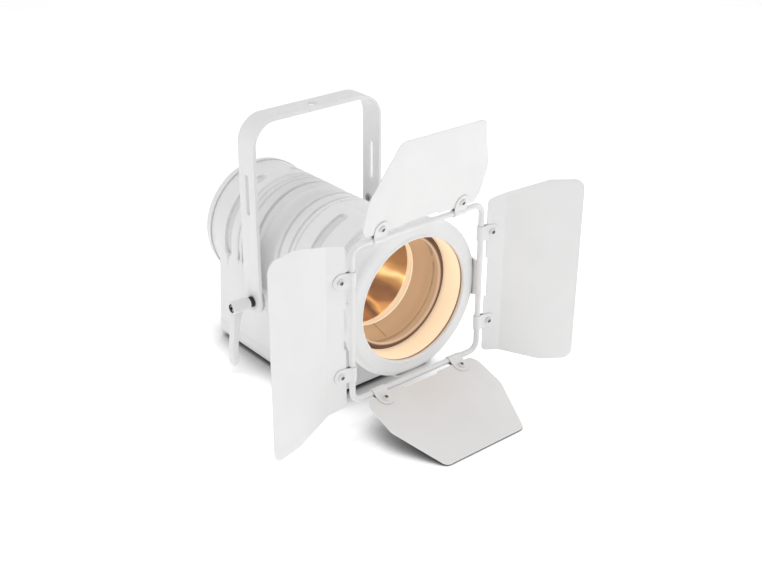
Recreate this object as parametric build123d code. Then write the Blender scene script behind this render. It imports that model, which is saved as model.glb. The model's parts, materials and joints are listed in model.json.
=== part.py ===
from build123d import *
import math
import os

# Theatre spotlight with a plano-convex lens, a tilting yoke and four-leaf barndoors.
# Millimetres. The beam leaves towards -Y, +X is to the right seen from the front, +Z is up.
# The origin is the centre of the base's underside, which stands on the floor at Z = 0.

# ---------------------------------------------------------------- driving dimensions
axis_z = 121.0            # height of the lens axis
tube_r = 70.0             # outside radius of the cast tube
tube_wall = 3.5
side_foot_x = 75.8        # half width of the base at its lower edge
gap_under = 7.0           # the castings end this far above the floor
cover_t = 2.5             # underside plate, and its foot's floor
foot_half_x = 60.0        # half width of the foot the base stands on
parting_gap = 0.2         # seam between the two castings, on the plane X = 0

front_y = -99.0           # front face of the front plate
plate_t = 4.0
base_rear_y = 99.0        # rear end of the base
seam_y = 116.0            # seam between the tube and the rear cap
cap_end_y = 128.0         # rear face of the cap
cap_r = 71.5

snoot_out_r = 69.1        # the fixed tube that carries the lens and the barndoors
snoot_in_r = 66.5
snoot_front_y = -149.5

lens_r = 64.0
lens_edge_t = 6.0
lens_bulge = 20.0
lens_back_y = -113.0
lens_rim_y = lens_back_y - lens_edge_t

frame_y = -158.8          # plane of the barndoor rods
frame_half = 85.0         # half side of the square of rods, on the rods' centre lines
rod_r = 3.15
rod_bend_r = 11.0
ring_out_r = 86.0
ring_in_r = 66.8
sheet_t = 1.2             # barndoor sheet
clip_t = 1.1              # strap of the barndoor clips
clip_width = 16.0
clip_spread = 52.0        # clips sit this far from the middle of their rod
clip_pinch_u = 7.5        # the strap's two ends come together here
clip_screw_u = 13.0       # screw's distance from the rod's centre line
leaf_edge_u = 7.0         # leaf's hinge edge from the rod's centre line
leaf_attitude = {"top": 17.5, "left": -8.0, "right": 14.0, "bottom": 72.0}
leaf_bend = 22.0          # fold of the side leaves, degrees

pivot_y = 16.0            # yoke pivot
pivot_z = 79.0
yoke_half = 84.7          # half width over the yoke's arms
yoke_t = 4.0
yoke_width = 28.5
yoke_top_z = 285.7
yoke_bend_r = 29.0
yoke_hole_r = 6.5         # clearance hole for an M12 clamp bolt
boss_face_x = 77.0        # pivot bosses on the castings
bush_r = 12.0
bush_neck_r = 6.0
stud_r = 4.0
running = 0.05            # radial running clearance

carriage_y = -19.0        # front face of the carriage plate
carriage_t = 3.0
carriage_r = 63.8
guide_radius = 59.5       # guide rods and focus screw, from the lens axis
guide_r = 2.5
screw_r = 3.0
guide_front_y = -93.5
cap_plate_t = 3.0

lever_in_x = 90.0         # hub of the clamp lever, from and to
lever_out_x = 112.0
lever_drop = 72.0

os.makedirs("parts", exist_ok=True)


# ---------------------------------------------------------------- helpers
def save(node, *solids):
    """Write one node: a single solid, or a group of separate ones."""
    pieces = []
    for solid in solids:
        pieces.extend(solid.solids())
    shape = pieces[0] if len(pieces) == 1 else Compound(children=pieces)
    export_step(shape, f"parts/{node}.step")


def on_axis(shape):
    """Turn a shape whose axis is Z so that Z runs along +Y, on the lens axis."""
    return Pos(0, 0, axis_z) * Rot(X=-90) * shape


def turned(points, arc=360.0):
    """Solid of revolution about the lens axis from (radius, Y) points."""
    outline = make_face(Polyline(*[(r, 0, y) for r, y in points], close=True))
    return on_axis(revolve(outline, axis=Axis.Z, revolution_arc=arc))


def disc(r, y0, y1):
    """Cylinder on the lens axis from y0 to y1."""
    return on_axis(Pos(0, 0, (y0 + y1) / 2) * Cylinder(r, y1 - y0))


def tube(r_out, r_in, y0, y1):
    return disc(r_out, y0, y1) - disc(r_in, y0 - 1, y1 + 1)


def rod_along_y(x, z, r, y0, y1):
    return Pos(x, (y0 + y1) / 2, z) * Rot(X=90) * Cylinder(r, y1 - y0)


def rod_along_x(x0, x1, r, y=pivot_y, z=pivot_z):
    return Pos((x0 + x1) / 2, y, z) * Rot(Y=90) * Cylinder(r, x1 - x0)


def block(x0, x1, y0, y1, z0, z1):
    return Pos((x0 + x1) / 2, (y0 + y1) / 2, (z0 + z1) / 2) * Box(x1 - x0, y1 - y0, z1 - z0)


def polar(radius, degrees):
    """X and Z of a point at an angle about the lens axis, 0 along +X and 90 up."""
    angle = math.radians(degrees)
    return radius * math.cos(angle), axis_z + radius * math.sin(angle)


def hex_socket(r, depth):
    """Hexagonal key socket, from Z = 0 downwards."""
    return Pos(0, 0, -depth) * extrude(RegularPolygon(r, 6), amount=depth + 1)


def button_screw(head_r, head_h, shank_r, shank_l):
    """Dome-headed key screw: the head stands on Z = 0, the shank goes down."""
    dome = Cylinder(head_r, head_h, align=(Align.CENTER, Align.CENTER, Align.MIN))
    dome = fillet(dome.edges().sort_by(Axis.Z)[-1], head_h * 0.7)
    shank = Cylinder(shank_r, shank_l, align=(Align.CENTER, Align.CENTER, Align.MAX))
    return dome + shank - Pos(0, 0, head_h) * hex_socket(head_r * 0.45, head_h * 0.6)


# ---------------------------------------------------------------- cast housing
foot_height = axis_z - gap_under
foot_angle = math.degrees(math.atan2(-foot_height, -side_foot_x)) % 360
foot_reach = math.hypot(side_foot_x, foot_height)
tangent_angle = foot_angle - math.degrees(math.acos(tube_r / foot_reach))
side_slope = math.tan(math.radians(180 - tangent_angle))


def side_x(z):
    """Half width of the base's drafted side at a height."""
    return side_foot_x - (z - gap_under) * side_slope


def body_section(y0, y1):
    """Prism of the whole body: the tube's round top with flat sides tangent to it."""
    left_x, touch_z = polar(tube_r, tangent_angle)
    outline = ThreePointArc((left_x, touch_z), (0, axis_z + tube_r), (-left_x, touch_z))
    outline += Polyline((-left_x, touch_z), (side_foot_x, gap_under), (-side_foot_x, gap_under),
                        (left_x, touch_z))
    return Pos(0, y1, 0) * extrude(Plane.XZ * make_face(outline), amount=y1 - y0)


def bay_section(inset, top_z, y0, y1):
    """Prism of the space under the tube, between the base's walls."""
    low, high = side_x(gap_under) - inset, side_x(top_z) - inset
    outline = make_face(Polyline((-high, top_z), (-low, gap_under), (low, gap_under), (high, top_z),
                                 close=True))
    outline -= Pos(0, axis_z) * Circle(tube_r + inset - tube_wall)
    return Pos(0, y1, 0) * extrude(Plane.XZ * outline, amount=y1 - y0)


def groove(y, width, depth):
    return turned([(tube_r - depth, y - width / 2), (tube_r + 8, y - width / 2),
                   (tube_r + 8, y + width / 2), (tube_r - depth, y + width / 2)])


def waist(y0, y1, depth):
    """Shallow concave waist round the tube."""
    rim = tube_r + 0.5
    hollow = ThreePointArc((rim, 0, y1), (tube_r - depth, 0, (y0 + y1) / 2), (rim, 0, y0))
    outline = hollow + Polyline((rim, 0, y0), (tube_r + 8, 0, y0), (tube_r + 8, 0, y1), (rim, 0, y1))
    return on_axis(revolve(make_face(outline), axis=Axis.Z))


def side_slot(y, width, start, end, depth):
    """Recess round part of the tube's circumference, with round ends."""
    floor_r = tube_r - depth
    outline = make_face(Polyline((floor_r, 0, y - width / 2), (tube_r + 8, 0, y - width / 2),
                                 (tube_r + 8, 0, y + width / 2), (floor_r, 0, y + width / 2),
                                 close=True))
    sweep = revolve(outline, axis=Axis.Z, revolution_arc=end - start)
    slot = on_axis(Rot(Z=-end) * sweep)
    for angle in (start, end):
        x, z = polar(floor_r + 10, angle)
        slot += Pos(x, y, z) * Rot(Y=90 - angle) * Cylinder(width / 2 + 0.2, 20)
    return slot


rib_grooves = [(61.0, 4.0, 1.6), (53.0, 4.0, 1.6), (45.0, 3.4, 1.6), (29.0, 5.0, 2.6), (18.5, 2.2, 0.7),
               (-12.7, 4.6, 2.4), (-28.0, 4.6, 2.2), (-36.6, 6.4, 1.8)]
waist_y = (-6.0, 16.0)
waist_depth = 3.0
slot_places = [(82.0, 10.5), (-62.5, 10.0)]
slot_arc = (109.0, 187.0)
slot_depth = 2.8
slot_back_r = tube_r - tube_wall - 1.5

body_front_y = front_y + plate_t
casting = body_section(body_front_y, base_rear_y) + disc(tube_r, base_rear_y, seam_y)
cuts = waist(*waist_y, waist_depth)
for y, width, depth in rib_grooves:
    cuts += groove(y, width, depth)
groove_end_z = axis_z - 14
casting -= cuts & block(-90, 90, -100, 120, groove_end_z, axis_z + 90)

bore_r = tube_r - tube_wall
thick_zones = [(-69.5, -55.5, slot_back_r), (waist_y[0] - 2, waist_y[1] + 2, bore_r - 2),
               (75.0, 89.0, slot_back_r)]
bore_points = [(0, body_front_y - 1), (bore_r, body_front_y - 1)]
for y0, y1, zone_r in thick_zones:
    bore_points += [(bore_r, y0 - 4), (zone_r, y0), (zone_r, y1), (bore_r, y1 + 4)]
bore_points += [(bore_r, seam_y + 1), (0, seam_y + 1)]
casting -= turned(bore_points)
bay_top_z = 100.0
casting -= bay_section(tube_wall, bay_top_z, body_front_y - 1, base_rear_y + 1)
casting &= block(-100, -parting_gap / 2, -120, 130, 0, 220)

# The screws' bosses.
cap_screw_angles = (45, 135, 225, 315)
cap_screw_radius = 62.5
for angle in (135, 225):
    x, z = polar(cap_screw_radius, angle)
    casting += rod_along_y(x, z, 5.0, 102, seam_y)
    casting -= rod_along_y(x, z, 2.0, 104, seam_y + 1)
cover_screw_spots = [(x, y) for x in (-66, 66) for y in (-82, 60)]
for x, y in cover_screw_spots[:2]:
    casting += Pos(x, y, gap_under) * Cylinder(7.2, 26, align=(Align.CENTER, Align.CENTER, Align.MIN))
    casting -= Pos(x, y, gap_under) * Cylinder(2, 40)
front_screw_spots = [(x, z) for x in (-66, 66) for z in (14, 62)]
for x, z in front_screw_spots[:2]:
    casting += rod_along_y(x, z, 5.0, body_front_y, body_front_y + 10)
    casting -= rod_along_y(x, z, 2.0, body_front_y - 1, body_front_y + 8)

# The pivot's boss, the side slots, the line along the side, the parting line and the cable hole.
casting += rod_along_x(-boss_face_x, -60, 14.0)
casting -= rod_along_x(-boss_face_x - 3, -57, stud_r + running)
for y, width in slot_places:
    casting -= side_slot(y, width, *slot_arc, slot_depth)
line_depth = 0.5
casting -= block(-90, line_depth - side_x(20.2), body_front_y - 1, base_rear_y + 1, 20.0, 20.4)
casting -= block(-0.35, 0.35, body_front_y - 1, seam_y + 1, axis_z + tube_r - 0.7, axis_z + tube_r + 3)
casting -= block(-12, 12, 62, 86, 45, 60)

save("housing_left", casting)
save("housing_right", mirror(casting, about=Plane.YZ))

# Front plate: closes the tube and the base, and carries the snoot.
front_plate = body_section(front_y, body_front_y)
front_plate -= disc(63.5, front_y - 1, body_front_y + 1)
front_screws = []
for x, z in front_screw_spots:
    front_plate -= rod_along_y(x, z, 2.0, front_y - 1, body_front_y + 1)
    screw = Pos(x, front_y, z) * Rot(X=90) * button_screw(3.6, 2.0, 1.95, plate_t + 7)
    front_screws.append(screw)
save("front_plate", front_plate)

# Underside plate, pressed down in the middle into a shallow foot that stands well inside the castings' edge.
cover_x = 73.4
foot_y0, foot_y1 = -88.0, 88.0
cover_low_z = gap_under - cover_t
bottom_cover = block(-cover_x, cover_x, front_y + 3, base_rear_y - 3, cover_low_z, gap_under)
bottom_cover += block(-foot_half_x, foot_half_x, foot_y0, foot_y1, 0, gap_under)
bottom_cover = fillet(bottom_cover.edges().filter_by(Axis.Z), 4)
bottom_cover -= block(-foot_half_x + cover_t, foot_half_x - cover_t, foot_y0 + cover_t, foot_y1 - cover_t,
                      cover_t, gap_under + 1)
cover_screws = []
for x, y in cover_screw_spots:
    bottom_cover -= Pos(x, y, 0) * Cylinder(2.05, 20)
    screw = Pos(x, y, cover_low_z) * Rot(X=180) * button_screw(3.6, 1.6, 1.9, 13)
    cover_screws.append(screw)
save("bottom_cover", bottom_cover)
save("cover_screws", *cover_screws)

# ---------------------------------------------------------------- snoot and lens
snoot = turned([
    (snoot_in_r, snoot_front_y), (snoot_out_r, snoot_front_y), (snoot_out_r, -107.0),
    (tube_r + 0.8, -106.0), (tube_r + 0.8, -104.8), (snoot_out_r, -104.8), (snoot_out_r, -103.6),
    (tube_r + 0.8, -103.6), (tube_r + 0.8, -102.4), (snoot_out_r, -102.4), (snoot_out_r, -101.2),
    (tube_r + 0.8, -101.2), (tube_r + 0.8, front_y), (60.5, front_y), (60.5, lens_back_y),
    (snoot_in_r, lens_back_y)])
save("snoot", snoot)

retainer = turned([(58.5, -124.8), (60.2, -126.4), (62.8, -126.4), (64.6, -124.6), (66.4, -124.0),
                   (66.4, lens_rim_y), (64.3, lens_rim_y), (61.5, -121.6), (58.5, -123.6)])
for side in (-1, 1):
    retainer -= Pos(side * 62.5, -127.0, axis_z) * Box(12, 3, 4)
save("lens_retainer", retainer)

sphere_r = (lens_r ** 2 + lens_bulge ** 2) / (2 * lens_bulge)
half_bulge = math.sqrt(sphere_r ** 2 - (lens_r / 2) ** 2) - (sphere_r - lens_bulge)
lens_tip = (0, 0, lens_rim_y - lens_bulge)
lens_edge = (lens_r, 0, lens_rim_y)
lens_outline = Line(lens_tip, (0, 0, lens_back_y)) + Line((0, 0, lens_back_y), (lens_r, 0, lens_back_y))
lens_outline += Line((lens_r, 0, lens_back_y), lens_edge)
lens_outline += ThreePointArc(lens_edge, (lens_r / 2, 0, lens_rim_y - half_bulge), lens_tip)
lens_face = make_face(lens_outline)
save("lens", on_axis(revolve(lens_face, axis=Axis.Z)))
save("lens_gasket", tube(snoot_in_r - 0.05, lens_r, lens_rim_y, lens_back_y))
save("barndoor_stop_ring", tube(72.0, snoot_out_r, -136.5, -134.5))

# Rolled sheet funnel between the lens and the reflector, with its open seam.
funnel_wall = 1.0
funnel = turned([
    (60.3, -98.7), (60.3, -109.5), (60.3 - funnel_wall, -109.5), (53.2, -89.8), (54.2, -89.8),
    (55.7, guide_front_y), (65.5, guide_front_y), (65.5, body_front_y), (60.3, body_front_y)])
split_x, split_z = polar(56.0, -112)
funnel -= Pos(split_x, -100, split_z) * Rot(Y=90 + 112) * Box(0.5, 60, 30)
save("light_funnel", funnel)

# ---------------------------------------------------------------- rear cap and controls
rear_cap = turned([
    (0, cap_end_y - cap_plate_t), (66.5, cap_end_y - cap_plate_t), (66.5, seam_y), (cap_r, seam_y),
    (cap_r - 0.6, cap_end_y - 4.5), (cap_r - 2.2, cap_end_y - 1.4), (cap_r - 5.5, cap_end_y),
    (0, cap_end_y)])
window_w, window_h, window_z = 48.0, 22.0, axis_z + 22.0
rear_cap -= block(-window_w / 2, window_w / 2, 120, 130, window_z - window_h / 2, window_z + window_h / 2)
button_r = 4.0
button_names = ("menu", "down", "up", "enter")
button_z = axis_z - 4.0
button_x = {name: 15.0 * (index - 1.5) for index, name in enumerate(button_names)}
for x in button_x.values():
    rear_cap -= rod_along_y(x, button_z, button_r + 0.08, 120, 130)
vent_rows = ((40.0, 5), (48.0, 7), (56.0, 7))
for radius, count in vent_rows:
    for side in (0, 180):
        for index in range(count):
            angle = side + 11.0 * (index - (count - 1) / 2) * (48.0 / radius)
            x, z = polar(radius, angle)
            rear_cap -= Pos(x, cap_end_y, z) * Rot(Y=-angle) * Box(3.2, 12, 7.0)
screw_z = axis_z - guide_radius
rear_cap -= rod_along_y(0, screw_z, screw_r + running, 120, 130)
cap_screws = []
for angle in cap_screw_angles:
    x, z = polar(cap_screw_radius, angle)
    rear_cap -= rod_along_y(x, z, 2.05, 110, 130)
    rear_cap += rod_along_y(x, z, 3.4, seam_y, cap_end_y - 1) - rod_along_y(x, z, 2.05, 110, 130)
    cap_screws.append(Pos(x, cap_end_y, z) * Rot(X=-90) * button_screw(3.6, 2.0, 1.95, 22))
save("rear_cap", rear_cap)
save("housing_screws", *cap_screws, *front_screws)

window = block(-window_w / 2 + 0.1, window_w / 2 - 0.1, cap_end_y - 2.6, cap_end_y - 0.6,
               window_z - window_h / 2 + 0.1, window_z + window_h / 2 - 0.1)
save("display_window", window)
board_y = 112.0
control_board = block(-40, 40, board_y, board_y + 1.6, axis_z - 18, axis_z + 40)
control_board += block(-22, 22, board_y + 1.6, board_y + 10, window_z - 9, window_z + 9)
for x in button_x.values():
    control_board += block(x - 3, x + 3, board_y + 1.6, board_y + 4.0, button_z - 3, button_z + 3)
save("control_board", control_board)
for name, x in button_x.items():
    button = rod_along_y(x, button_z, button_r, 117.8, cap_end_y + 2.2)
    button = fillet(button.edges().sort_by(Axis.Y)[-1], 0.8)
    button += rod_along_y(x, button_z, button_r + 1.2, 117.8, 119.0)
    save(f"button_{name}", button)

# ---------------------------------------------------------------- connectors in the base's rear
panel_y = base_rear_y - 3.5
panel_t = 3.0
panel = bay_section(tube_wall + 0.1, bay_top_z - 0.1, panel_y, panel_y + panel_t)
socket_z = 27.0
latch_x = 56.0
socket_x = {"power_in": -56.0, "power_out": -27.0, "dmx_in": 27.0, "dmx_out": 56.0}
shell_r = 11.8
fuse_r = 7.5
for x in socket_x.values():
    panel -= rod_along_y(x, socket_z, shell_r + 0.1, 80, 110)
panel -= rod_along_y(0, socket_z, fuse_r + 0.1, 80, 110)
panel -= block(latch_x - 3.2, latch_x + 3.2, 90, 110, socket_z + 7, socket_z + 13.7)
save("connector_panel", panel)
panel_face_y = panel_y + panel_t
flange_t = 2.2


def socket_shell(x, bore_r):
    """Chassis connector: square flange with rounded corners and a round shell behind it."""
    flange = Pos(x, panel_face_y + flange_t / 2, socket_z) * Box(26, flange_t, 31)
    flange = fillet(flange.edges().filter_by(Axis.Y), 3)
    shell = flange + rod_along_y(x, socket_z, shell_r, panel_face_y - 24, panel_face_y)
    shell -= rod_along_y(x, socket_z, bore_r, panel_face_y - 20, panel_face_y + 5)
    for sx in (-1, 1):
        corner = Pos(x + sx * 9.5, panel_face_y + flange_t, socket_z - sx * 12) * Rot(X=90)
        shell -= corner * Cylinder(2.6, 1.6)
    return shell


dmx_in = socket_shell(socket_x["dmx_in"], 9.6)
for angle in (90, 210, 330):
    spot_x = socket_x["dmx_in"] + 5.0 * math.cos(math.radians(angle))
    spot_z = socket_z + 5.0 * math.sin(math.radians(angle))
    dmx_in += rod_along_y(spot_x, spot_z, 1.2, panel_face_y - 21, panel_face_y - 4)
save("dmx_in", dmx_in)

dmx_out = socket_shell(socket_x["dmx_out"], 9.6)
core = rod_along_y(socket_x["dmx_out"], socket_z, 7.6, panel_face_y - 21, panel_face_y - 1)
for angle in (90, 210, 330):
    spot_x = socket_x["dmx_out"] + 5.0 * math.cos(math.radians(angle))
    spot_z = socket_z + 5.0 * math.sin(math.radians(angle))
    core -= rod_along_y(spot_x, spot_z, 1.3, panel_face_y - 16, panel_face_y + 1)
latch_gap = block(latch_x - 3.2, latch_x + 3.2, panel_face_y - 8, panel_face_y + 5,
                  socket_z + 7, socket_z + 13.7)
save("dmx_out", dmx_out + core - latch_gap)
latch = block(latch_x - 3.0, latch_x + 3.0, panel_face_y - 5.5, panel_face_y + flange_t + 1.0,
              socket_z + 9.7, socket_z + 13.4)
latch = fillet(latch.edges().filter_by(Axis.Y), 0.8)
save("dmx_latch", latch)

for name, key_angle in (("power_in", 90), ("power_out", 270)):
    x = socket_x[name]
    inlet = socket_shell(x, 10.2)
    inlet += rod_along_y(x, socket_z, 5.6, panel_face_y - 21, panel_face_y - 2)
    for angle in (key_angle, key_angle + 120, key_angle + 240):
        spot_x = x + 3.2 * math.cos(math.radians(angle))
        spot_z = socket_z + 3.2 * math.sin(math.radians(angle))
        inlet -= Pos(spot_x, panel_face_y - 4, spot_z) * Box(1.2, 14, 2.6)
    save(name, inlet)

fuse = rod_along_y(0, socket_z, fuse_r, panel_face_y - 26, panel_face_y)
fuse += rod_along_y(0, socket_z, 9.2, panel_face_y, panel_face_y + 2)
fuse += rod_along_y(0, socket_z, 7.0, panel_face_y + 2, panel_face_y + 7)
fuse -= Pos(0, panel_face_y + 7, socket_z) * Box(9, 2.4, 1.4)
save("fuse_holder", fuse)

# Power supply and driver, on the underside plate's foot.
psu = block(-56, 56, -30, 60, cover_t, 34)
psu -= block(-54, 54, -28, 58, 30, 40)
for index in range(9):
    x = -46 + index * 11.5
    psu += block(x - 3.5, x + 3.5, -20 + (index % 3) * 18, 4 + (index % 3) * 18, 20, 33)
save("power_supply", psu)
driver = block(-55, 55, -78, -36, 6.0, 7.6)
for x, y in [(x, y) for x in (-44, -16, 12, 40) for y in (-68, -48)]:
    driver += block(x - 7, x + 7, y - 6, y + 6, 7.6, 19)
    driver += Pos(x, y, cover_t) * Cylinder(2.5, 3.5, align=(Align.CENTER, Align.CENTER, Align.MIN))
save("led_driver", driver)

# ---------------------------------------------------------------- focus carriage
guide_angles = (30, 150)
guides = []
plate = disc(carriage_r, carriage_y, carriage_y + carriage_t)
for angle in guide_angles:
    x, z = polar(guide_radius, angle)
    guides.append(rod_along_y(x, z, guide_r, guide_front_y, cap_end_y - cap_plate_t))
    bearing = rod_along_y(x, z, 4.2, carriage_y, carriage_y + 9)
    plate += bearing
    plate -= rod_along_y(x, z, guide_r + running, -40, 20)
plate += rod_along_y(0, screw_z, 4.2, carriage_y, carriage_y + 9)
plate -= rod_along_y(0, screw_z, screw_r + running, -40, 20)
save("guide_rods", *guides)
save("carriage_plate", plate)

rim_front_y = -89.0
rim_back_y = -79.0
save("reflector_rim", turned([(53.4, rim_front_y), (54.6, rim_front_y - 0.4), (56.0, rim_front_y),
                              (56.0, rim_back_y), (54.6, rim_back_y)]))


def bowl(extra):
    """Half section of the reflector's curve, from its throat to its mouth."""
    throat_y, mouth_y = -23.5, rim_back_y
    throat, mouth = 11.5 + extra, 53.6 + extra
    points = []
    for step in range(9):
        t = step / 8
        points.append((throat + (mouth - throat) * math.sqrt(t), 0, throat_y + (mouth_y - throat_y) * t))
    return points


bowl_in = bowl(0)
bowl_out = bowl(1.6)
bowl_face = make_face(
    Spline(*bowl_in) + Line(bowl_in[-1], bowl_out[-1]) + Spline(*reversed(bowl_out))
    + Line(bowl_out[0], bowl_in[0]))
reflector = on_axis(revolve(bowl_face, axis=Axis.Z)) + tube(20.0, 16.0, -32.0, carriage_y)
reflector -= disc(16.0, -24.5, carriage_y + 1)
reflector -= disc(11.5, -40, carriage_y + 1)
reflector += tube(17.0, 11.5, -24.5, -23.0)
save("reflector", reflector)

led = disc(15.0, carriage_y - 1.6, carriage_y) + disc(9.0, carriage_y - 2.6, carriage_y - 1.6)
save("led_board", led)

sink_y0 = carriage_y + carriage_t
sink_y1 = 35.0
heatsink = disc(20.0, sink_y0, sink_y1)
fin_count = 24
for index in range(fin_count):
    angle = 360 / fin_count * index
    x, z = polar(33.5, angle)
    heatsink += Pos(x, (sink_y0 + sink_y1) / 2, z) * Rot(Y=-angle) * Box(29, sink_y1 - sink_y0, 1.6)
save("heatsink", heatsink)

fan_y0, fan_y1 = sink_y1, 60.0
fan_half = 40.0
fan_frame = block(-fan_half, fan_half, fan_y0, fan_y1, axis_z - fan_half, axis_z + fan_half)
fan_frame = fillet(fan_frame.edges().filter_by(Axis.Y), 5)
fan_frame -= disc(38.5, fan_y0 - 1, fan_y1 + 1)
fan_frame += disc(14.0, fan_y1 - 2.5, fan_y1)
for angle in (0, 90, 180, 270):
    x, z = polar(26, angle + 20)
    fan_frame += Pos(x, fan_y1 - 1.25, z) * Rot(Y=-(angle + 20)) * Box(26, 2.5, 4)
fan_frame += disc(2.0, fan_y0 + 5, fan_y1 - 1)
save("fan_frame", fan_frame)
fan_rotor = disc(13.5, fan_y0 + 3, fan_y1 - 3.2)
for index in range(7):
    angle = 360 / 7 * index
    x, z = polar(25.2, angle)
    blade = Rot(Y=-angle) * Rot(X=38) * Box(24.4, 1.3, 17)
    fan_rotor += Pos(x, (fan_y0 + fan_y1) / 2, z) * blade
fan_rotor -= disc(2.0 + running, fan_y0 + 4.8, fan_y1)
fan_rotor &= disc(37.4, fan_y0 + 2, fan_y1 - 3.2)
save("fan_rotor", fan_rotor)

knob_r = 12.0
focus_screw = rod_along_y(0, screw_z, screw_r, guide_front_y + 0.2, cap_end_y + 12)
save("focus_screw", focus_screw)
knob = rod_along_y(0, screw_z, knob_r, cap_end_y + 2, cap_end_y + 18)
knob = chamfer(knob.edges().sort_by(Axis.Y)[-1], 1.2)
for index in range(12):
    angle = math.radians(30 * index)
    knob -= rod_along_y(knob_r * 1.06 * math.cos(angle), screw_z + knob_r * 1.06 * math.sin(angle), 1.8,
                        cap_end_y + 5, cap_end_y + 20)
knob -= rod_along_y(0, screw_z, screw_r, cap_end_y, cap_end_y + 12)
save("focus_knob", knob)

# ---------------------------------------------------------------- yoke and its pivots
strap_path = [(-yoke_half, pivot_z), (-yoke_half, yoke_top_z), (yoke_half, yoke_top_z), (yoke_half, pivot_z)]
outside = FilletPolyline(*strap_path, radius=yoke_bend_r)
inner_half = yoke_half - yoke_t
inner_top = yoke_top_z - yoke_t
inside = FilletPolyline((inner_half, pivot_z), (inner_half, inner_top), (-inner_half, inner_top),
                        (-inner_half, pivot_z), radius=yoke_bend_r - yoke_t)
ends = Line((yoke_half, pivot_z), (inner_half, pivot_z)) + Line((-inner_half, pivot_z), (-yoke_half, pivot_z))
strap_face = Plane.XZ * make_face(outside + inside + ends)
strap = Pos(0, pivot_y + yoke_width / 2, 0) * extrude(strap_face, amount=yoke_width)
slot_low_z, slot_high_z = axis_z + 60, axis_z + 104
slot_half = 2.0
for side in (-1, 1):
    inner, outer = sorted((side * inner_half, side * yoke_half))
    strap += rod_along_x(inner, outer, yoke_width / 2)
    strap -= rod_along_x(inner - 1, outer + 1, bush_neck_r + running)
    strap -= block(inner - 1, outer + 1, pivot_y - slot_half, pivot_y + slot_half,
                   slot_low_z + slot_half, slot_high_z - slot_half)
    for z in (slot_low_z + slot_half, slot_high_z - slot_half):
        strap -= rod_along_x(inner - 1, outer + 1, slot_half, pivot_y, z)
strap -= Pos(0, pivot_y, yoke_top_z) * Cylinder(yoke_hole_r, 20)
nut_y, nut_z, nut_r = pivot_y + 4.0, axis_z + 34.8, 5.0
strap -= rod_along_x(inner_half - 1, yoke_half + 1, nut_r, nut_y, nut_z)
save("yoke", strap)

rivet_nut = rod_along_x(inner_half - 0.9, yoke_half - 0.6, nut_r, nut_y, nut_z)
rivet_nut += rod_along_x(yoke_half - 0.6, yoke_half + 8, 3.9, nut_y, nut_z)
rivet_nut -= rod_along_x(inner_half - 3, yoke_half + 9, 2.5, nut_y, nut_z)
rivet_nut -= rod_along_x(inner_half - 3, inner_half + 0.6, 3.6, nut_y, nut_z)
save("yoke_rivet_nut", rivet_nut)

bushes = []
for side in (-1, 1):
    inner, outer = sorted((side * boss_face_x, side * inner_half))
    bush = rod_along_x(inner, outer, bush_r)
    inner, outer = sorted((side * inner_half, side * (yoke_half + 0.05)))
    bush += rod_along_x(inner, outer, bush_neck_r)
    bush -= rod_along_x(side * 90 - 20, side * 90 + 20, stud_r + running)
    bushes.append(bush)
save("pivot_bushes", *bushes)

bolt = rod_along_x(58, yoke_half + 2, stud_r) + rod_along_x(yoke_half + 0.1, yoke_half + 1.7, 9.0)
bolt_head = rod_along_x(yoke_half + 1.7, yoke_half + 9.7, 6.5)
bolt_head = fillet(bolt_head.edges().sort_by(Axis.X)[-1], 0.8)
bolt_head -= Pos(yoke_half + 9.7, pivot_y, pivot_z) * Rot(Y=90) * hex_socket(3.6, 5)
save("pivot_bolt", bolt + bolt_head)

# Clamp lever on the left pivot: a black stud with its collar, the handle, and the screw in its end.
collar_x = yoke_half + 0.15
stud = rod_along_x(-collar_x, -58, stud_r) + rod_along_x(-lever_in_x, -collar_x, 5.75)
stud += rod_along_x(-101, -lever_in_x, 3.9)
save("clamp_stud", stud)
lever_screw = rod_along_x(-111.4, -107.4, 4.0) + rod_along_x(-107.4, -101, 2.0)
lever_screw -= Pos(-111.4, pivot_y, pivot_z) * Rot(Y=-90) * hex_socket(2.3, 2.4)
save("lever_screw", lever_screw)

hub = Pos(-(lever_in_x + 0.1 + lever_out_x) / 2, pivot_y, pivot_z) * Rot(Y=-90) * Cone(
    6.6, 7.3, lever_out_x - lever_in_x - 0.1)
hub = fillet(hub.edges().sort_by(Axis.X)[0], 0.9)
arm_points = [(-96.5, 0), (-lever_out_x + 0.6, 0), (-lever_out_x, -8), (-113.6, -30), (-116.4, -56),
              (-116.4, -lever_drop + 5), (-114.0, -lever_drop), (-110.2, -lever_drop),
              (-107.4, -lever_drop + 4), (-107.0, -62), (-108.4, -58.5), (-105.8, -30), (-101.0, -8)]
arm_face = Plane.XZ * make_face(Polyline(*[(x, pivot_z + z) for x, z in arm_points], close=True))
arm_t = 9.6
arm = Pos(0, pivot_y + arm_t / 2, 0) * extrude(arm_face, amount=arm_t)
arm = fillet(arm.edges().filter_by(Axis.Y, reverse=True), 2.2)
lever = hub + arm - rod_along_x(-lever_out_x - 1, -lever_in_x + 1, 4.2)
save("clamp_lever", lever)

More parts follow.
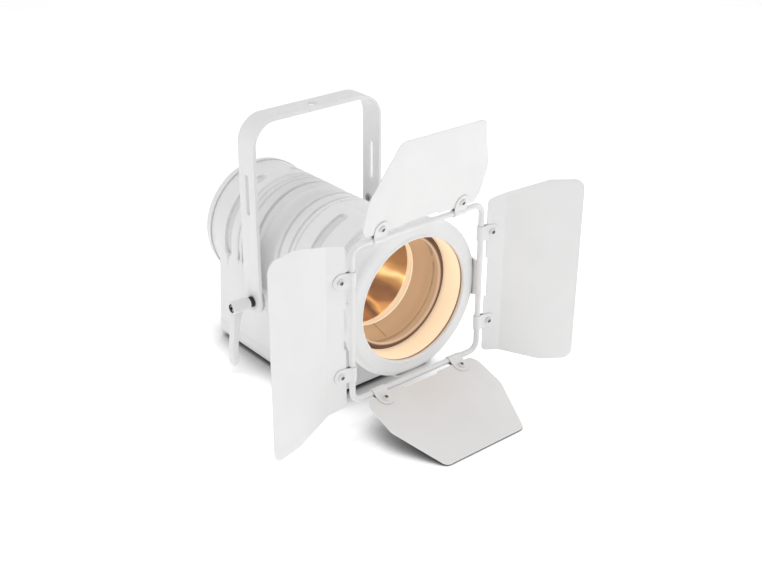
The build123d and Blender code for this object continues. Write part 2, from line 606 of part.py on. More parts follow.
# ---------------------------------------------------------------- barndoors
ring = turned([
    (ring_in_r, -153.2), (68.2, -154.8), (69.6, -154.8), (71.0, -154.0), (79.0, -153.2),
    (82.6, -152.2), (84.9, -150.2), (ring_out_r, -147.4), (ring_out_r, -144.0), (83.6, -144.0),
    (83.2, -148.2), (80.6, -150.2), (74.0, -150.2), (74.0, -137.0), (snoot_out_r + 0.09, -137.0),
    (snoot_out_r + 0.09, -150.0), (ring_in_r, -150.0)])
tab_half = 22.0
rod_lines = []
for angle in (0, 90, 180, 270):
    turn = Pos(0, 0, axis_z) * Rot(Y=angle) * Pos(0, 0, -axis_z)
    tab = block(81.0, 85.0, -157.5, -144.0, axis_z - tab_half, axis_z + tab_half)
    tab -= disc(83.4, -152.0, -143)
    ring += turn * tab
    rod = Pos(frame_half, frame_y, axis_z) * Cylinder(rod_r, 2 * (frame_half - rod_bend_r))
    bend = Pos(frame_half - rod_bend_r, frame_y, axis_z + frame_half - rod_bend_r) * Rot(X=90)
    elbow_face = Pos(rod_bend_r, 0, 0) * Rot(X=90) * Circle(rod_r)
    elbow = revolve(elbow_face, axis=Axis.Z, revolution_arc=90)
    rod_lines.append(turn * rod)
    rod_lines.append(turn * (bend * elbow))
rods = rod_lines[0]
for piece in rod_lines[1:]:
    rods += piece
for angle in (0, 90, 180, 270):
    turn = Pos(0, 0, axis_z) * Rot(Y=angle) * Pos(0, 0, -axis_z)
    ring -= turn * (Pos(frame_half, frame_y, axis_z) * Cylinder(rod_r, 3 * frame_half))
save("barndoor_ring", ring)
save("rod_frame", rods)


def leaf_plane(side):
    """Plane on a rod: local x leaves the frame, local y runs along the rod, local z faces the front."""
    lean = math.radians(leaf_attitude[side])
    out = {"top": (0, 1), "bottom": (0, -1), "left": (-1, 0), "right": (1, 0)}[side]
    origin = (out[0] * frame_half, frame_y, axis_z + out[1] * frame_half)
    x_dir = (out[0] * math.cos(lean), -math.sin(lean), out[1] * math.cos(lean))
    z_dir = (-out[0] * math.sin(lean), -math.cos(lean), -out[1] * math.sin(lean))
    return Plane(origin=origin, x_dir=x_dir, z_dir=z_dir)


def mirrored(points):
    """Outline that is the same on both sides of the leaf's middle line."""
    return points + [(u, -v) for u, v in reversed(points)]


def sheet(points, radii):
    outline = FilletPolyline(*mirrored(points), radius=radii + radii[::-1], close=True)
    return extrude(make_face(outline), amount=sheet_t / 2, both=True)


notch_depth = 2.5
notch_half = 22.5


def flat_leaf():
    """Top and bottom leaves: flat, widest a third of the way out."""
    leaf = sheet([(leaf_edge_u, 70), (16, 75), (52, 75.5), (112, 52.5)], [4, 12, 14, 8])
    return leaf - Box(2 * (leaf_edge_u + notch_depth), 2 * notch_half, 5)


def folded_leaf():
    """Side leaves: a narrow strip on the rod, then a wide panel folded forward."""
    fold_u = 28.5
    strip = sheet([(leaf_edge_u, 88), (fold_u + 0.01, 92.5)], [6, 0])
    strip -= Box(2 * (leaf_edge_u + notch_depth), 2 * notch_half, 5)
    panel = sheet([(-0.01, 92.5), (44.5, 105.5), (81.0, 105.5)], [0, 16, 11])
    knuckle = Rot(X=90) * Cylinder(sheet_t / 2, 185)
    return strip + Pos(fold_u, 0, 0) * (Rot(Y=-leaf_bend) * panel + knuckle)


def clip(v):
    """Strap bent round the rod with both ends flat on the leaf, and its round end."""
    half = sheet_t / 2
    pinch = Pos(clip_pinch_u, 0) * Rectangle(1, 2 * (half + clip_t))
    outer = make_hull((Circle(rod_r + running + clip_t) + pinch).edges())
    outer += Pos(clip_pinch_u + 7, 0) * Rectangle(15, 2 * (half + clip_t))
    inner = make_hull((Circle(rod_r + running) + Pos(clip_pinch_u - 1, 0) * Rectangle(1, sheet_t)).edges())
    inner += Pos(clip_pinch_u + 8, 0) * Rectangle(20, sheet_t)
    body = Pos(0, clip_width / 2, 0) * Rot(X=90) * extrude(outer - inner, amount=clip_width)
    round_end = Pos(clip_screw_u, 0, 0) * Cylinder(clip_width / 2, 20)
    keep = round_end + Pos(clip_screw_u / 2 - 4, 0, 0) * Box(clip_screw_u + 8, clip_width, 20)
    body = body & keep
    body -= Pos(clip_screw_u, 0, 0) * Cylinder(2.0, 20)
    return Pos(0, v, 0) * body


def clip_screw(v):
    top = sheet_t / 2 + clip_t
    screw = Pos(0, 0, top) * button_screw(3.7, 2.2, 1.95, 2 * top + 0.6)
    nut = Pos(0, 0, -top - 2.2) * extrude(RegularPolygon(3.6, 6), amount=2.2)
    return Pos(clip_screw_u, v, 0) * (screw + nut)


for side in ("top", "bottom", "left", "right"):
    place = leaf_plane(side).location
    leaf = flat_leaf() if side in ("top", "bottom") else folded_leaf()
    for v in (-clip_spread, clip_spread):
        leaf -= Pos(clip_screw_u, v, 0) * Cylinder(2.0, 20)
    save(f"leaf_{side}", place * leaf)
    save(f"clips_{side}", *[place * clip(v) for v in (-clip_spread, clip_spread)])
    save(f"clip_screws_{side}", *[place * clip_screw(v) for v in (-clip_spread, clip_spread)])
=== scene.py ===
"""Looks of the theatre spotlight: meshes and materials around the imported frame, stage, lights, camera."""

import json
import math

import bmesh
import bpy
from mathutils import Matrix, Vector


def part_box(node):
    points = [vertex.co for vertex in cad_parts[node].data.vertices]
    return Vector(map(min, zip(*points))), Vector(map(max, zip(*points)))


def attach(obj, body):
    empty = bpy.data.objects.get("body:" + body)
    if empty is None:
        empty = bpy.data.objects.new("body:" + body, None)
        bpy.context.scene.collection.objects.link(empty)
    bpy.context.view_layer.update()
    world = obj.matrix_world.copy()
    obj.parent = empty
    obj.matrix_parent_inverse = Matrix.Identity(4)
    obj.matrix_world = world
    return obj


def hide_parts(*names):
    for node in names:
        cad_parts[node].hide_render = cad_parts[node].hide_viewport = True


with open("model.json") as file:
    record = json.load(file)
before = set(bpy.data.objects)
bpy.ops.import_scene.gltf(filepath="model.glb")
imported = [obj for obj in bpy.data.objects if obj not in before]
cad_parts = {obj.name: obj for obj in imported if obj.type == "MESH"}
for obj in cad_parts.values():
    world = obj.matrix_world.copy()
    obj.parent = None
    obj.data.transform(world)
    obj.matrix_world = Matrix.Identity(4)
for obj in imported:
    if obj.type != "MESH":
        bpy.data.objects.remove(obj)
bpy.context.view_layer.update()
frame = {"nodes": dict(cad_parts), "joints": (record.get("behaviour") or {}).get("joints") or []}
nodes = frame["nodes"]
joints = {joint["name"]: joint for joint in frame["joints"]}
MM = 0.001

# ------------------------------------------------------------ places read from the frame, in millimetres
lens_axis_z = joints["barndoor_turn"]["pos_m"][2] / MM
rod_plane_y = joints["barndoor_turn"]["pos_m"][1] / MM
rod_half = joints["leaf_right_fold"]["pos_m"][0] / MM
pivot_y, pivot_z = (value / MM for value in joints["yoke_tilt"]["pos_m"][1:])
yoke_low, yoke_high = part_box("yoke")
yoke_half = yoke_high.x / MM
yoke_top = yoke_high.z / MM
yoke_width = (yoke_high.y - yoke_low.y) / MM

# ------------------------------------------------------------ sizes of the pieces built here, in millimetres
ROD_R = 3.15
ROD_BEND_R = 11.0
SHEET_T = 1.2
CLIP_T = 1.1
CLIP_WIDTH = 16.0
CLIP_SPREAD = 52.0
CLIP_SCREW_U = 13.0
CLIP_HEAD_R, CLIP_HEAD_H, CLIP_SOCKET_R = 3.7, 2.2, 2.05
LEAF_EDGE_U = 7.0
NOTCH_HALF = 22.5
NOTCH_DEPTH = 2.5
FOLD_BACK_LIMIT = -30.0
SIDE_FOLD = 22.0
FOLD_U = 28.5
YOKE_T = 4.0
YOKE_BEND_R = 29.0
BUSH_NECK_R = 6.05
BOLT_HOLE_R = 6.5
RIVET_NUT_R = 5.0
RIVET_NUT_UP, RIVET_NUT_Y = 34.8, 4.0
YOKE_SLOT_CENTRES, YOKE_SLOT_HALF = (62, 102), 2.8

BEAM = Matrix.Translation((0, 0, lens_axis_z * MM)) @ Matrix.Rotation(math.radians(-90), 4, "X")


# ------------------------------------------------------------ node-based materials
def new_material(name):
    material = bpy.data.materials.new(name)
    material.use_nodes = True
    tree = material.node_tree
    shader = tree.nodes["Principled BSDF"]
    return material, tree, shader


def add_node(tree, kind, inputs=None, **settings):
    node = tree.nodes.new(kind)
    for key, value in settings.items():
        setattr(node, key, value)
    for key, value in (inputs or {}).items():
        node.inputs[key].default_value = value
    return node


def colour_ramp(tree, source, stops):
    ramp = add_node(tree, "ShaderNodeValToRGB")
    elements = ramp.color_ramp.elements
    while len(elements) < len(stops):
        elements.new(0.5)
    for element, (place, colour) in zip(elements, stops):
        element.position = place
        element.color = (*colour, 1.0)
    tree.links.new(source, ramp.inputs["Fac"])
    return ramp.outputs["Color"]


def value_range(tree, source, low, high, from_low=0.0, from_high=1.0):
    node = add_node(tree, "ShaderNodeMapRange")
    node.inputs["From Min"].default_value = from_low
    node.inputs["From Max"].default_value = from_high
    node.inputs["To Min"].default_value = low
    node.inputs["To Max"].default_value = high
    tree.links.new(source, node.inputs["Value"])
    return node.outputs["Result"]


def noise(tree, scale, detail=3.0, rough=0.5, stretch=(1, 1, 1)):
    place = add_node(tree, "ShaderNodeTexCoord")
    mapping = add_node(tree, "ShaderNodeMapping")
    mapping.inputs["Scale"].default_value = stretch
    tree.links.new(place.outputs["Object"], mapping.inputs["Vector"])
    texture = add_node(tree, "ShaderNodeTexNoise")
    texture.inputs["Scale"].default_value = scale
    texture.inputs["Detail"].default_value = detail
    texture.inputs["Roughness"].default_value = rough
    tree.links.new(mapping.outputs["Vector"], texture.inputs["Vector"])
    return texture.outputs["Fac"]


def bump(tree, shader, height, strength, distance, soft_edge=0.0):
    node = add_node(tree, "ShaderNodeBump", {"Strength": strength, "Distance": distance})
    tree.links.new(height, node.inputs["Height"])
    if soft_edge:
        edge = add_node(tree, "ShaderNodeBevel", {"Radius": soft_edge}, samples=4)
        tree.links.new(edge.outputs["Normal"], node.inputs["Normal"])
    tree.links.new(node.outputs["Normal"], shader.inputs["Normal"])


def mottled(tree, shader, colour, spread, scale):
    """Base colour that drifts a little, as a sprayed coat does."""
    low = [max(0.0, channel - spread) for channel in colour]
    high = [min(1.0, channel + spread) for channel in colour]
    fac = noise(tree, scale, 4.0)
    tree.links.new(colour_ramp(tree, fac, [(0.3, low), (0.7, high)]), shader.inputs["Base Color"])


def powder_coat(name, colour, roughness=0.42, grain=1400.0, depth=0.00005, soft_edge=0.0, hollow=0.5):
    """Baked powder: fine orange-peel texture, a little colour drift, and painted shade that greys the
    hollows.
    """
    material, tree, shader = new_material(name)
    low = [channel - 0.012 for channel in colour]
    high = [min(1.0, channel + 0.012) for channel in colour]
    drift = colour_ramp(tree, noise(tree, 22.0, 4.0), [(0.3, low), (0.7, high)])
    # Painted shade: ambient occlusion greys the base colour in hollows and between parts.
    openness = add_node(tree, "ShaderNodeAmbientOcclusion", {"Distance": 0.007}, samples=8)
    hollow_shade = colour_ramp(tree, openness.outputs["AO"], [(0.12, [hollow * 0.8] * 3), (0.5, [hollow + 0.34] * 3),
                                                      (0.8, [1.0] * 3)])
    mix = add_node(tree, "ShaderNodeMix", data_type="RGBA", blend_type="MULTIPLY")
    mix.inputs[0].default_value = 1.0
    tree.links.new(drift, mix.inputs[6])
    tree.links.new(hollow_shade, mix.inputs[7])
    tree.links.new(mix.outputs[2], shader.inputs["Base Color"])
    fine = noise(tree, grain, 2.0, 0.6)
    broad = noise(tree, 60.0, 3.0)
    rough = value_range(tree, broad, roughness - 0.07, roughness + 0.07, 0.3, 0.7)
    tree.links.new(rough, shader.inputs["Roughness"])
    shader.inputs["Specular IOR Level"].default_value = 0.45
    bump(tree, shader, fine, 0.35, depth, soft_edge)
    return material


def brushed_metal(name, colour, roughness=0.3, stretch=(1, 1, 30), scale=300.0):
    material, tree, shader = new_material(name)
    mottled(tree, shader, colour, 0.03, 80.0)
    shader.inputs["Metallic"].default_value = 1.0
    streaks = noise(tree, scale, 3.0, 0.6, stretch)
    rough = value_range(tree, streaks, roughness - 0.1, roughness + 0.12, 0.3, 0.7)
    tree.links.new(rough, shader.inputs["Roughness"])
    bump(tree, shader, streaks, 0.15, 0.00003)
    return material


def from_lens_axis(tree):
    """Vector from the lens axis to the shaded point, in metres."""
    place = add_node(tree, "ShaderNodeTexCoord")
    shift = add_node(tree, "ShaderNodeVectorMath", operation="SUBTRACT")
    shift.inputs[1].default_value = (0, 0, lens_axis_z * MM)
    tree.links.new(place.outputs["Object"], shift.inputs[0])
    flat = add_node(tree, "ShaderNodeVectorMath", operation="MULTIPLY")
    flat.inputs[1].default_value = (1, 0, 1)
    tree.links.new(shift.outputs[0], flat.inputs[0])
    return flat.outputs[0]


def shade_inside(tree, shader, radius_mm, stops):
    """Multiply the base colour by greys that follow the distance from the lens axis, below a radius: painted
    shade for recesses.
    """
    distance = add_node(tree, "ShaderNodeVectorMath", operation="LENGTH")
    tree.links.new(from_lens_axis(tree), distance.inputs[0])
    low, high = radius_mm
    place = value_range(tree, distance.outputs["Value"], 0.0, 1.0, low * MM, high * MM)
    greys = colour_ramp(tree, place, [(at, [grey] * 3) for at, grey in stops])
    mix = add_node(tree, "ShaderNodeMix", data_type="RGBA", blend_type="MULTIPLY")
    mix.inputs[0].default_value = 1.0
    tree.links.new(shader.inputs["Base Color"].links[0].from_socket, mix.inputs[6])
    tree.links.new(greys, mix.inputs[7])
    tree.links.new(mix.outputs[2], shader.inputs["Base Color"])


def moulded_plastic(name, colour, roughness=0.5):
    material, tree, shader = new_material(name)
    mottled(tree, shader, colour, 0.01, 40.0)
    grain = noise(tree, 900.0, 3.0)
    rough = value_range(tree, grain, roughness - 0.06, roughness + 0.06, 0.3, 0.7)
    tree.links.new(rough, shader.inputs["Roughness"])
    bump(tree, shader, grain, 0.2, 0.00004)
    return material


def glow_from(tree, shader, colour, share, strength):
    """Use one colour for both the coat and its painted glow (emission), the coat at a share of it."""
    dim = add_node(tree, "ShaderNodeMix", data_type="RGBA")
    dim.inputs[0].default_value = share
    dim.inputs[6].default_value = (0, 0, 0, 1)
    tree.links.new(colour, dim.inputs[7])
    tree.links.new(dim.outputs[2], shader.inputs["Base Color"])
    tree.links.new(colour, shader.inputs["Emission Color"])
    shader.inputs["Emission Strength"].default_value = strength


def painted_glow_coat(name, colour, glow, roughness=0.35, share=1.0):
    """White coat with the lamp's warm light painted on: its colour and emission are a painted glow."""
    material, tree, shader = new_material(name)
    low = [channel * 0.97 for channel in colour]
    drift = colour_ramp(tree, noise(tree, 30.0, 4.0), [(0.3, low), (0.7, colour)])
    glow_from(tree, shader, drift, share, glow)
    shader.inputs["Roughness"].default_value = roughness
    bump(tree, shader, noise(tree, 900.0, 2.0), 0.2, 0.00003)
    return material


def ringed_coat(name, start, end, stops, share=0.45, strength=0.6, along_axis=False, roughness=0.35):
    """Glowing coat whose painted light and shade change with the distance from the lens axis, or along it.
    """
    material, tree, shader = new_material(name)
    if along_axis:
        parts = add_node(tree, "ShaderNodeSeparateXYZ")
        tree.links.new(add_node(tree, "ShaderNodeTexCoord").outputs["Object"], parts.inputs[0])
        measure = parts.outputs["Y"]
    else:
        distance = add_node(tree, "ShaderNodeVectorMath", operation="LENGTH")
        tree.links.new(from_lens_axis(tree), distance.inputs[0])
        measure = distance.outputs["Value"]
    place = value_range(tree, measure, 0.0, 1.0, start * MM, end * MM)
    glow_from(tree, shader, colour_ramp(tree, place, stops), share, strength)
    grain = noise(tree, 700.0, 2.0)
    tree.links.new(value_range(tree, grain, roughness - 0.05, roughness + 0.05, 0.3, 0.7),
                   shader.inputs["Roughness"])
    bump(tree, shader, grain, 0.15, 0.00003)
    return material


def thin_glass(name, tint, gloss):
    """Clear polished glass without refraction: mostly see-through, with a grazing gloss."""
    material, tree, shader = new_material(name)
    clear = add_node(tree, "ShaderNodeBsdfTransparent")
    tint_noise = noise(tree, 12.0, 2.0)
    shade = [channel * 0.985 for channel in tint]
    tree.links.new(colour_ramp(tree, tint_noise, [(0.35, shade), (0.65, tint)]), clear.inputs["Color"])
    shine = add_node(tree, "ShaderNodeBsdfGlossy", {"Roughness": 0.03})
    edge = add_node(tree, "ShaderNodeFresnel", {"IOR": 1.5})
    amount = value_range(tree, edge.outputs["Fac"], 0.0, gloss)
    mix = add_node(tree, "ShaderNodeMixShader")
    tree.links.new(amount, mix.inputs[0])
    tree.links.new(clear.outputs[0], mix.inputs[1])
    tree.links.new(shine.outputs[0], mix.inputs[2])
    tree.links.new(mix.outputs[0], tree.nodes["Material Output"].inputs["Surface"])
    return material


def polished_gold(name):
    """Spun and anodised reflector: painted radial streaks of the lamp's light between painted brown
    reflections, with a painted glow.
    """
    material, tree, shader = new_material(name)
    parts = add_node(tree, "ShaderNodeSeparateXYZ")
    tree.links.new(from_lens_axis(tree), parts.inputs[0])
    angle = add_node(tree, "ShaderNodeMath", operation="ARCTAN2")
    tree.links.new(parts.outputs["Z"], angle.inputs[0])
    tree.links.new(parts.outputs["X"], angle.inputs[1])
    ripple = noise(tree, 38.0, 2.0, 0.5, (1, 0.3, 1))
    wobble = value_range(tree, ripple, -0.16, 0.16, 0.3, 0.7)
    total = add_node(tree, "ShaderNodeMath", operation="ADD")
    tree.links.new(angle.outputs[0], total.inputs[0])
    tree.links.new(wobble, total.inputs[1])
    place = value_range(tree, total.outputs[0], 0.0, 1.0, -math.pi / 2, math.pi / 2)
    streaks = colour_ramp(tree, place, GOLD_PAINTED_REFLECTIONS)
    glow_from(tree, shader, streaks, 0.5, 0.85)
    shader.inputs["Metallic"].default_value = 0.6
    shader.inputs["Roughness"].default_value = 0.3
    bump(tree, shader, ripple, 0.3, 0.001)
    return material


GOLD_PAINTED_REFLECTIONS = [(0.0, (0.36, 0.15, 0.04)), (0.08, (0.14, 0.045, 0.012)), (0.13, (0.80, 0.42, 0.13)),
                (0.18, (0.30, 0.12, 0.035)), (0.25, (0.20, 0.08, 0.022)), (0.31, (0.50, 0.26, 0.08)),
                (0.355, (1.0, 0.76, 0.32)), (0.375, (1.0, 0.80, 0.40)), (0.41, (0.66, 0.36, 0.12)),
                (0.50, (0.36, 0.17, 0.05)), (0.60, (0.28, 0.13, 0.04)), (0.66, (0.80, 0.50, 0.20)),
                (0.72, (0.42, 0.22, 0.07)), (0.84, (0.80, 0.52, 0.24)), (1.0, (0.42, 0.22, 0.08))]
# Painted light on the lens retainer: a pink highlight on its lip, then painted shade darkening to brown
# outwards.
RETAINER_PAINTED_LIGHT = [(0.0, (0.60, 0.40, 0.28)), (0.12, (0.72, 0.52, 0.37)), (0.22, (0.60, 0.39, 0.26)),
              (0.32, (0.22, 0.10, 0.045)), (0.5, (0.07, 0.024, 0.01)), (0.85, (0.055, 0.02, 0.008)),
              (1.0, (0.14, 0.05, 0.02))]
# Reflector lip: cream coat with painted highlights, bright lines between darker bands along the lens axis.
CREAM_PAINTED_HIGHLIGHTS = [(0.0, (1.0, 0.88, 0.66)), (0.16, (1.0, 0.94, 0.78)), (0.26, (0.86, 0.64, 0.42)),
               (0.58, (1.0, 0.80, 0.56)), (0.74, (0.86, 0.62, 0.38)), (0.86, (1.0, 0.92, 0.72)),
               (1.0, (0.9, 0.7, 0.45))]
WHITE = (0.86, 0.86, 0.86)
cast_white = powder_coat("cast_white", WHITE, 0.5, 1100.0, 0.00008, 0.0005)
cast_skin = powder_coat("cast_skin", WHITE, 0.5, 1100.0, 0.00008)
cast_tree = cast_skin.node_tree
# Painted shade: the slot floors and groove bottoms, closer than 67.55 mm to the lens axis, are darkened.
shade_inside(cast_tree, cast_tree.nodes["Principled BSDF"], (67.1, 67.55),
             [(0.0, 0.84), (0.4, 0.86), (1.0, 1.0)])
sheet_white = powder_coat("sheet_white", WHITE, 0.42, 1500.0, 0.00005)
screw_white = powder_coat("screw_white", (0.80, 0.80, 0.80), 0.35, 1800.0, 0.00003)
socket_grey = powder_coat("socket_grey", (0.40, 0.40, 0.40), 0.5, 1800.0, 0.00003)
lever_white = moulded_plastic("lever_white", (0.82, 0.82, 0.82), 0.38)
bush_grey = moulded_plastic("bush_grey", (0.55, 0.55, 0.55), 0.5)
black_coat = powder_coat("black_coat", (0.02, 0.02, 0.02), 0.35, 1500.0, 0.00004)
black_plastic = moulded_plastic("black_plastic", (0.025, 0.025, 0.025), 0.5)
blue_plastic = moulded_plastic("blue_plastic", (0.03, 0.10, 0.42), 0.4)
white_plastic = moulded_plastic("white_plastic", (0.75, 0.75, 0.74), 0.45)
window_plastic = moulded_plastic("window_plastic", (0.01, 0.015, 0.03), 0.08)
board_green = moulded_plastic("board_green", (0.02, 0.14, 0.06), 0.4)
bright_steel = brushed_metal("bright_steel", (0.52, 0.52, 0.52), 0.25)
socket_black = powder_coat("socket_black", (0.04, 0.04, 0.04), 0.5, 1800.0, 0.00003)
zinc = brushed_metal("zinc", (0.62, 0.62, 0.60), 0.32)
aluminium = brushed_metal("aluminium", (0.70, 0.70, 0.71), 0.38)
led_yellow = painted_glow_coat("led_yellow", (1.0, 0.72, 0.25), 1.2, 0.5)
# Painted warm glow: peach on the snoot's inner wall; tan on the funnel, gasket, ledge and lens rim; brown on
# the funnel seam.
painted_peach_glow = painted_glow_coat("painted_peach_glow", (1.0, 0.80, 0.58), 0.42)
tan = painted_glow_coat("tan", (0.57, 0.375, 0.225), 0.80, 0.3, 0.3)
brown = painted_glow_coat("brown", (0.16, 0.06, 0.025), 0.12)
lip_shade = painted_glow_coat("lip_shade", (0.42, 0.28, 0.18), 0.05)
retainer_painted_light = ringed_coat("retainer_painted_light", 58.0, 66.6, RETAINER_PAINTED_LIGHT, 0.3, 0.72)
cream = ringed_coat("cream", -89.5, -78.0, CREAM_PAINTED_HIGHLIGHTS, 0.35, 0.80, True)
gold = polished_gold("gold")
lens_glass = thin_glass("lens_glass", (0.99, 0.97, 0.95), 0.045)

CAD_LOOKS = {
    cast_white: ["rear_cap"],
    sheet_white: ["front_plate", "bottom_cover", "connector_panel", "barndoor_stop_ring"],
    zinc: ["cover_screws", "housing_screws", "guide_rods", "focus_screw", "pivot_bolt",
           "dmx_latch", "yoke_rivet_nut"],
    black_coat: ["clamp_stud", "dmx_in", "dmx_out"],
    black_plastic: ["fuse_holder", "focus_knob", "fan_frame", "fan_rotor", "button_menu", "button_down",
                    "button_up", "button_enter"],
    blue_plastic: ["power_in"],
    white_plastic: ["power_out"],
    window_plastic: ["display_window"],
    board_green: ["control_board", "led_driver"],
    tan: ["lens_gasket"],
    aluminium: ["heatsink", "carriage_plate", "power_supply"],
    led_yellow: ["led_board"],
    bush_grey: ["pivot_bushes"],
}


def dress(thing, *materials):
    """Give a piece its materials, keeping which face takes which."""
    choice = [face.material_index for face in thing.data.polygons]
    thing.data.materials.clear()
    for material in materials:
        thing.data.materials.append(material)
    if any(choice):
        thing.data.polygons.foreach_set("material_index", choice)
    return thing


for look, names in CAD_LOOKS.items():
    for name in names:
        dress(nodes[name], look)


# ------------------------------------------------------------ mesh tools
def settle(name, shape, place=None, sharp=32.0):
    """Turn a bmesh in millimetres into an object in metres, smooth apart from its sharp edges."""
    bmesh.ops.remove_doubles(shape, verts=shape.verts, dist=0.0005)
    bmesh.ops.recalc_face_normals(shape, faces=shape.faces)
    mesh = bpy.data.meshes.new(name)
    shape.to_mesh(mesh)
    shape.free()
    mesh.transform(Matrix.Scale(MM, 4))
    if place is not None:
        mesh.transform(place)
    mesh.polygons.foreach_set("use_smooth", [True] * len(mesh.polygons))
    mesh.set_sharp_from_angle(angle=math.radians(sharp))
    thing = bpy.data.objects.new(name, mesh)
    bpy.context.scene.collection.objects.link(thing)
    return thing


def absorb(shape, other):
    """Add one bmesh to another and free it."""
    mesh = bpy.data.meshes.new("absorbed")
    other.to_mesh(mesh)
    other.free()
    shape.from_mesh(mesh)
    bpy.data.meshes.remove(mesh)


def axis_radius(face):
    """Distance of a face's middle from the lens axis, in millimetres."""
    return math.hypot(face.center.x, face.center.z - lens_axis_z * MM) / MM


def soften(points, size):
    """Round each corner of a closed outline by about the given size."""
    rounded = []
    count = len(points)
    for index, corner in enumerate(points):
        here = Vector(corner)
        before = Vector(points[index - 1]) - here
        after = Vector(points[(index + 1) % count]) - here
        reach = min(size, before.length * 0.42, after.length * 0.42)
        start = here + before.normalized() * reach
        end = here + after.normalized() * reach
        for step in (0.0, 0.33, 0.67, 1.0):
            point = start.lerp(here, step).lerp(here.lerp(end, step), step)
            rounded.append((point.x, point.y))
    return rounded


def turned(outline, steps=180):
    """Closed ring of (radius, height) points turned about Z."""
    shape = bmesh.new()
    rings = []
    for step in range(steps):
        angle = 2 * math.pi * step / steps
        rings.append([shape.verts.new((r * math.cos(angle), r * math.sin(angle), h)) for r, h in outline])
    for step in range(steps):
        here, there = rings[step], rings[(step + 1) % steps]
        for index in range(len(outline)):
            after = (index + 1) % len(outline)
            if outline[index][0] < 1e-6 and outline[after][0] < 1e-6:
                continue
            quad = [here[index], here[after], there[after], there[index]]
            shape.faces.new(quad)
    bmesh.ops.remove_doubles(shape, verts=shape.verts, dist=0.0005)
    return shape


def plate(outline, holes, thickness, edge, cut_lines=()):
    """Flat plate with rounded edges in the XY plane, from an outline and its holes."""
    curve = bpy.data.curves.new("plate", "CURVE")
    curve.dimensions = "2D"
    curve.fill_mode = "BOTH"
    curve.extrude = thickness / 2 - edge
    curve.bevel_depth = edge
    curve.bevel_resolution = 2
    curve.offset = -edge
    for loop in [outline, *holes]:
        spline = curve.splines.new("POLY")
        spline.points.add(len(loop) - 1)
        for point, (x, y) in zip(spline.points, loop):
            point.co = (x, y, 0, 1)
        spline.use_cyclic_u = True
    thing = bpy.data.objects.new("plate", curve)
    bpy.context.scene.collection.objects.link(thing)
    graph = bpy.context.evaluated_depsgraph_get()
    mesh = bpy.data.meshes.new_from_object(thing.evaluated_get(graph))
    bpy.data.objects.remove(thing)
    bpy.data.curves.remove(curve)
    shape = bmesh.new()
    shape.from_mesh(mesh)
    bpy.data.meshes.remove(mesh)
    bmesh.ops.remove_doubles(shape, verts=shape.verts, dist=0.001)
    for x in cut_lines:
        geometry = shape.verts[:] + shape.edges[:] + shape.faces[:]
        bmesh.ops.bisect_plane(shape, geom=geometry, plane_co=(x, 0, 0), plane_no=(1, 0, 0), dist=0.0001)
    return shape


def circle(x, y, r, steps=40):
    return [(x + r * math.cos(2 * math.pi * k / steps), y + r * math.sin(2 * math.pi * k / steps))
            for k in range(steps)]


def slot_loop(x0, x1, half, steps=12):
    """Straight slot along X with round ends."""
    loop = []
    for centre, first in ((x1, -90), (x0, 90)):
        for k in range(steps + 1):
            angle = math.radians(first + 180 * k / steps)
            loop.append((centre + half * math.cos(angle), half * math.sin(angle)))
    return loop


def round_corners(points, radii, steps=8):
    """Outline with a true arc of the given radius at each corner."""
    rounded = []
    count = len(points)
    for index, (corner, radius) in enumerate(zip(points, radii)):
        here = Vector(corner)
        before = (Vector(points[index - 1]) - here).normalized()
        after = (Vector(points[(index + 1) % count]) - here).normalized()
        half_angle = before.angle(after) / 2
        if radius <= 0 or half_angle > math.radians(89):
            rounded.append(tuple(here))
            continue
        middle = here + (before + after).normalized() * (radius / math.sin(half_angle))
        start = here + before * (radius / math.tan(half_angle)) - middle
        end = here + after * (radius / math.tan(half_angle)) - middle
        turn = start.angle_signed(end)
        for k in range(steps + 1):
            arm = start.copy()
            arm.rotate(Matrix.Rotation(-turn * k / steps, 2))
            rounded.append(tuple(middle + arm))
    return rounded


# ------------------------------------------------------------ barndoors
def rod_path():
    """Points and inward normals round the rounded square of rod, in the XZ plane."""
    path = []
    straight = rod_half - ROD_BEND_R
    for quarter in range(4):
        sx = 1 if quarter in (0, 3) else -1
        sz = 1 if quarter in (0, 1) else -1
        for step in range(13):
            angle = math.radians(90 * quarter + 90 * step / 12)
            out = (math.cos(angle), math.sin(angle))
            path.append((sx * straight + ROD_BEND_R * out[0], sz * straight + ROD_BEND_R * out[1], out))
    return path


def build_rods():
    shape = bmesh.new()
    rings = []
    for x, z, out in rod_path():
        ring = []
        for k in range(28):
            angle = 2 * math.pi * k / 28
            reach = ROD_R * math.cos(angle)
            ring.append(shape.verts.new((x + reach * out[0], rod_plane_y + ROD_R * math.sin(angle),
                                         lens_axis_z + z + reach * out[1])))
        rings.append(ring)
    for index, ring in enumerate(rings):
        other = rings[(index + 1) % len(rings)]
        for k in range(28):
            shape.faces.new([ring[k], ring[(k + 1) % 28], other[(k + 1) % 28], other[k]])
    return settle("rods", shape)


def leaf_matrix(side):
    """Place of a leaf: X away from its rod, Y along the rod, Z towards the front."""
    joint = joints[f"leaf_{side}_fold"]
    lean = math.radians(FOLD_BACK_LIMIT - joint["range_deg"][0])
    out = {"top": Vector((0, 0, 1)), "bottom": Vector((0, 0, -1)),
           "left": Vector((-1, 0, 0)), "right": Vector((1, 0, 0))}[side]
    front = Vector((0, -1, 0))
    x_dir = out * math.cos(lean) + front * math.sin(lean)
    z_dir = front * math.cos(lean) - out * math.sin(lean)
    y_dir = z_dir.cross(x_dir)
    rotation = Matrix((x_dir, y_dir, z_dir)).transposed().to_4x4()
    return Matrix.Translation(Vector(joint["pos_m"])) @ rotation


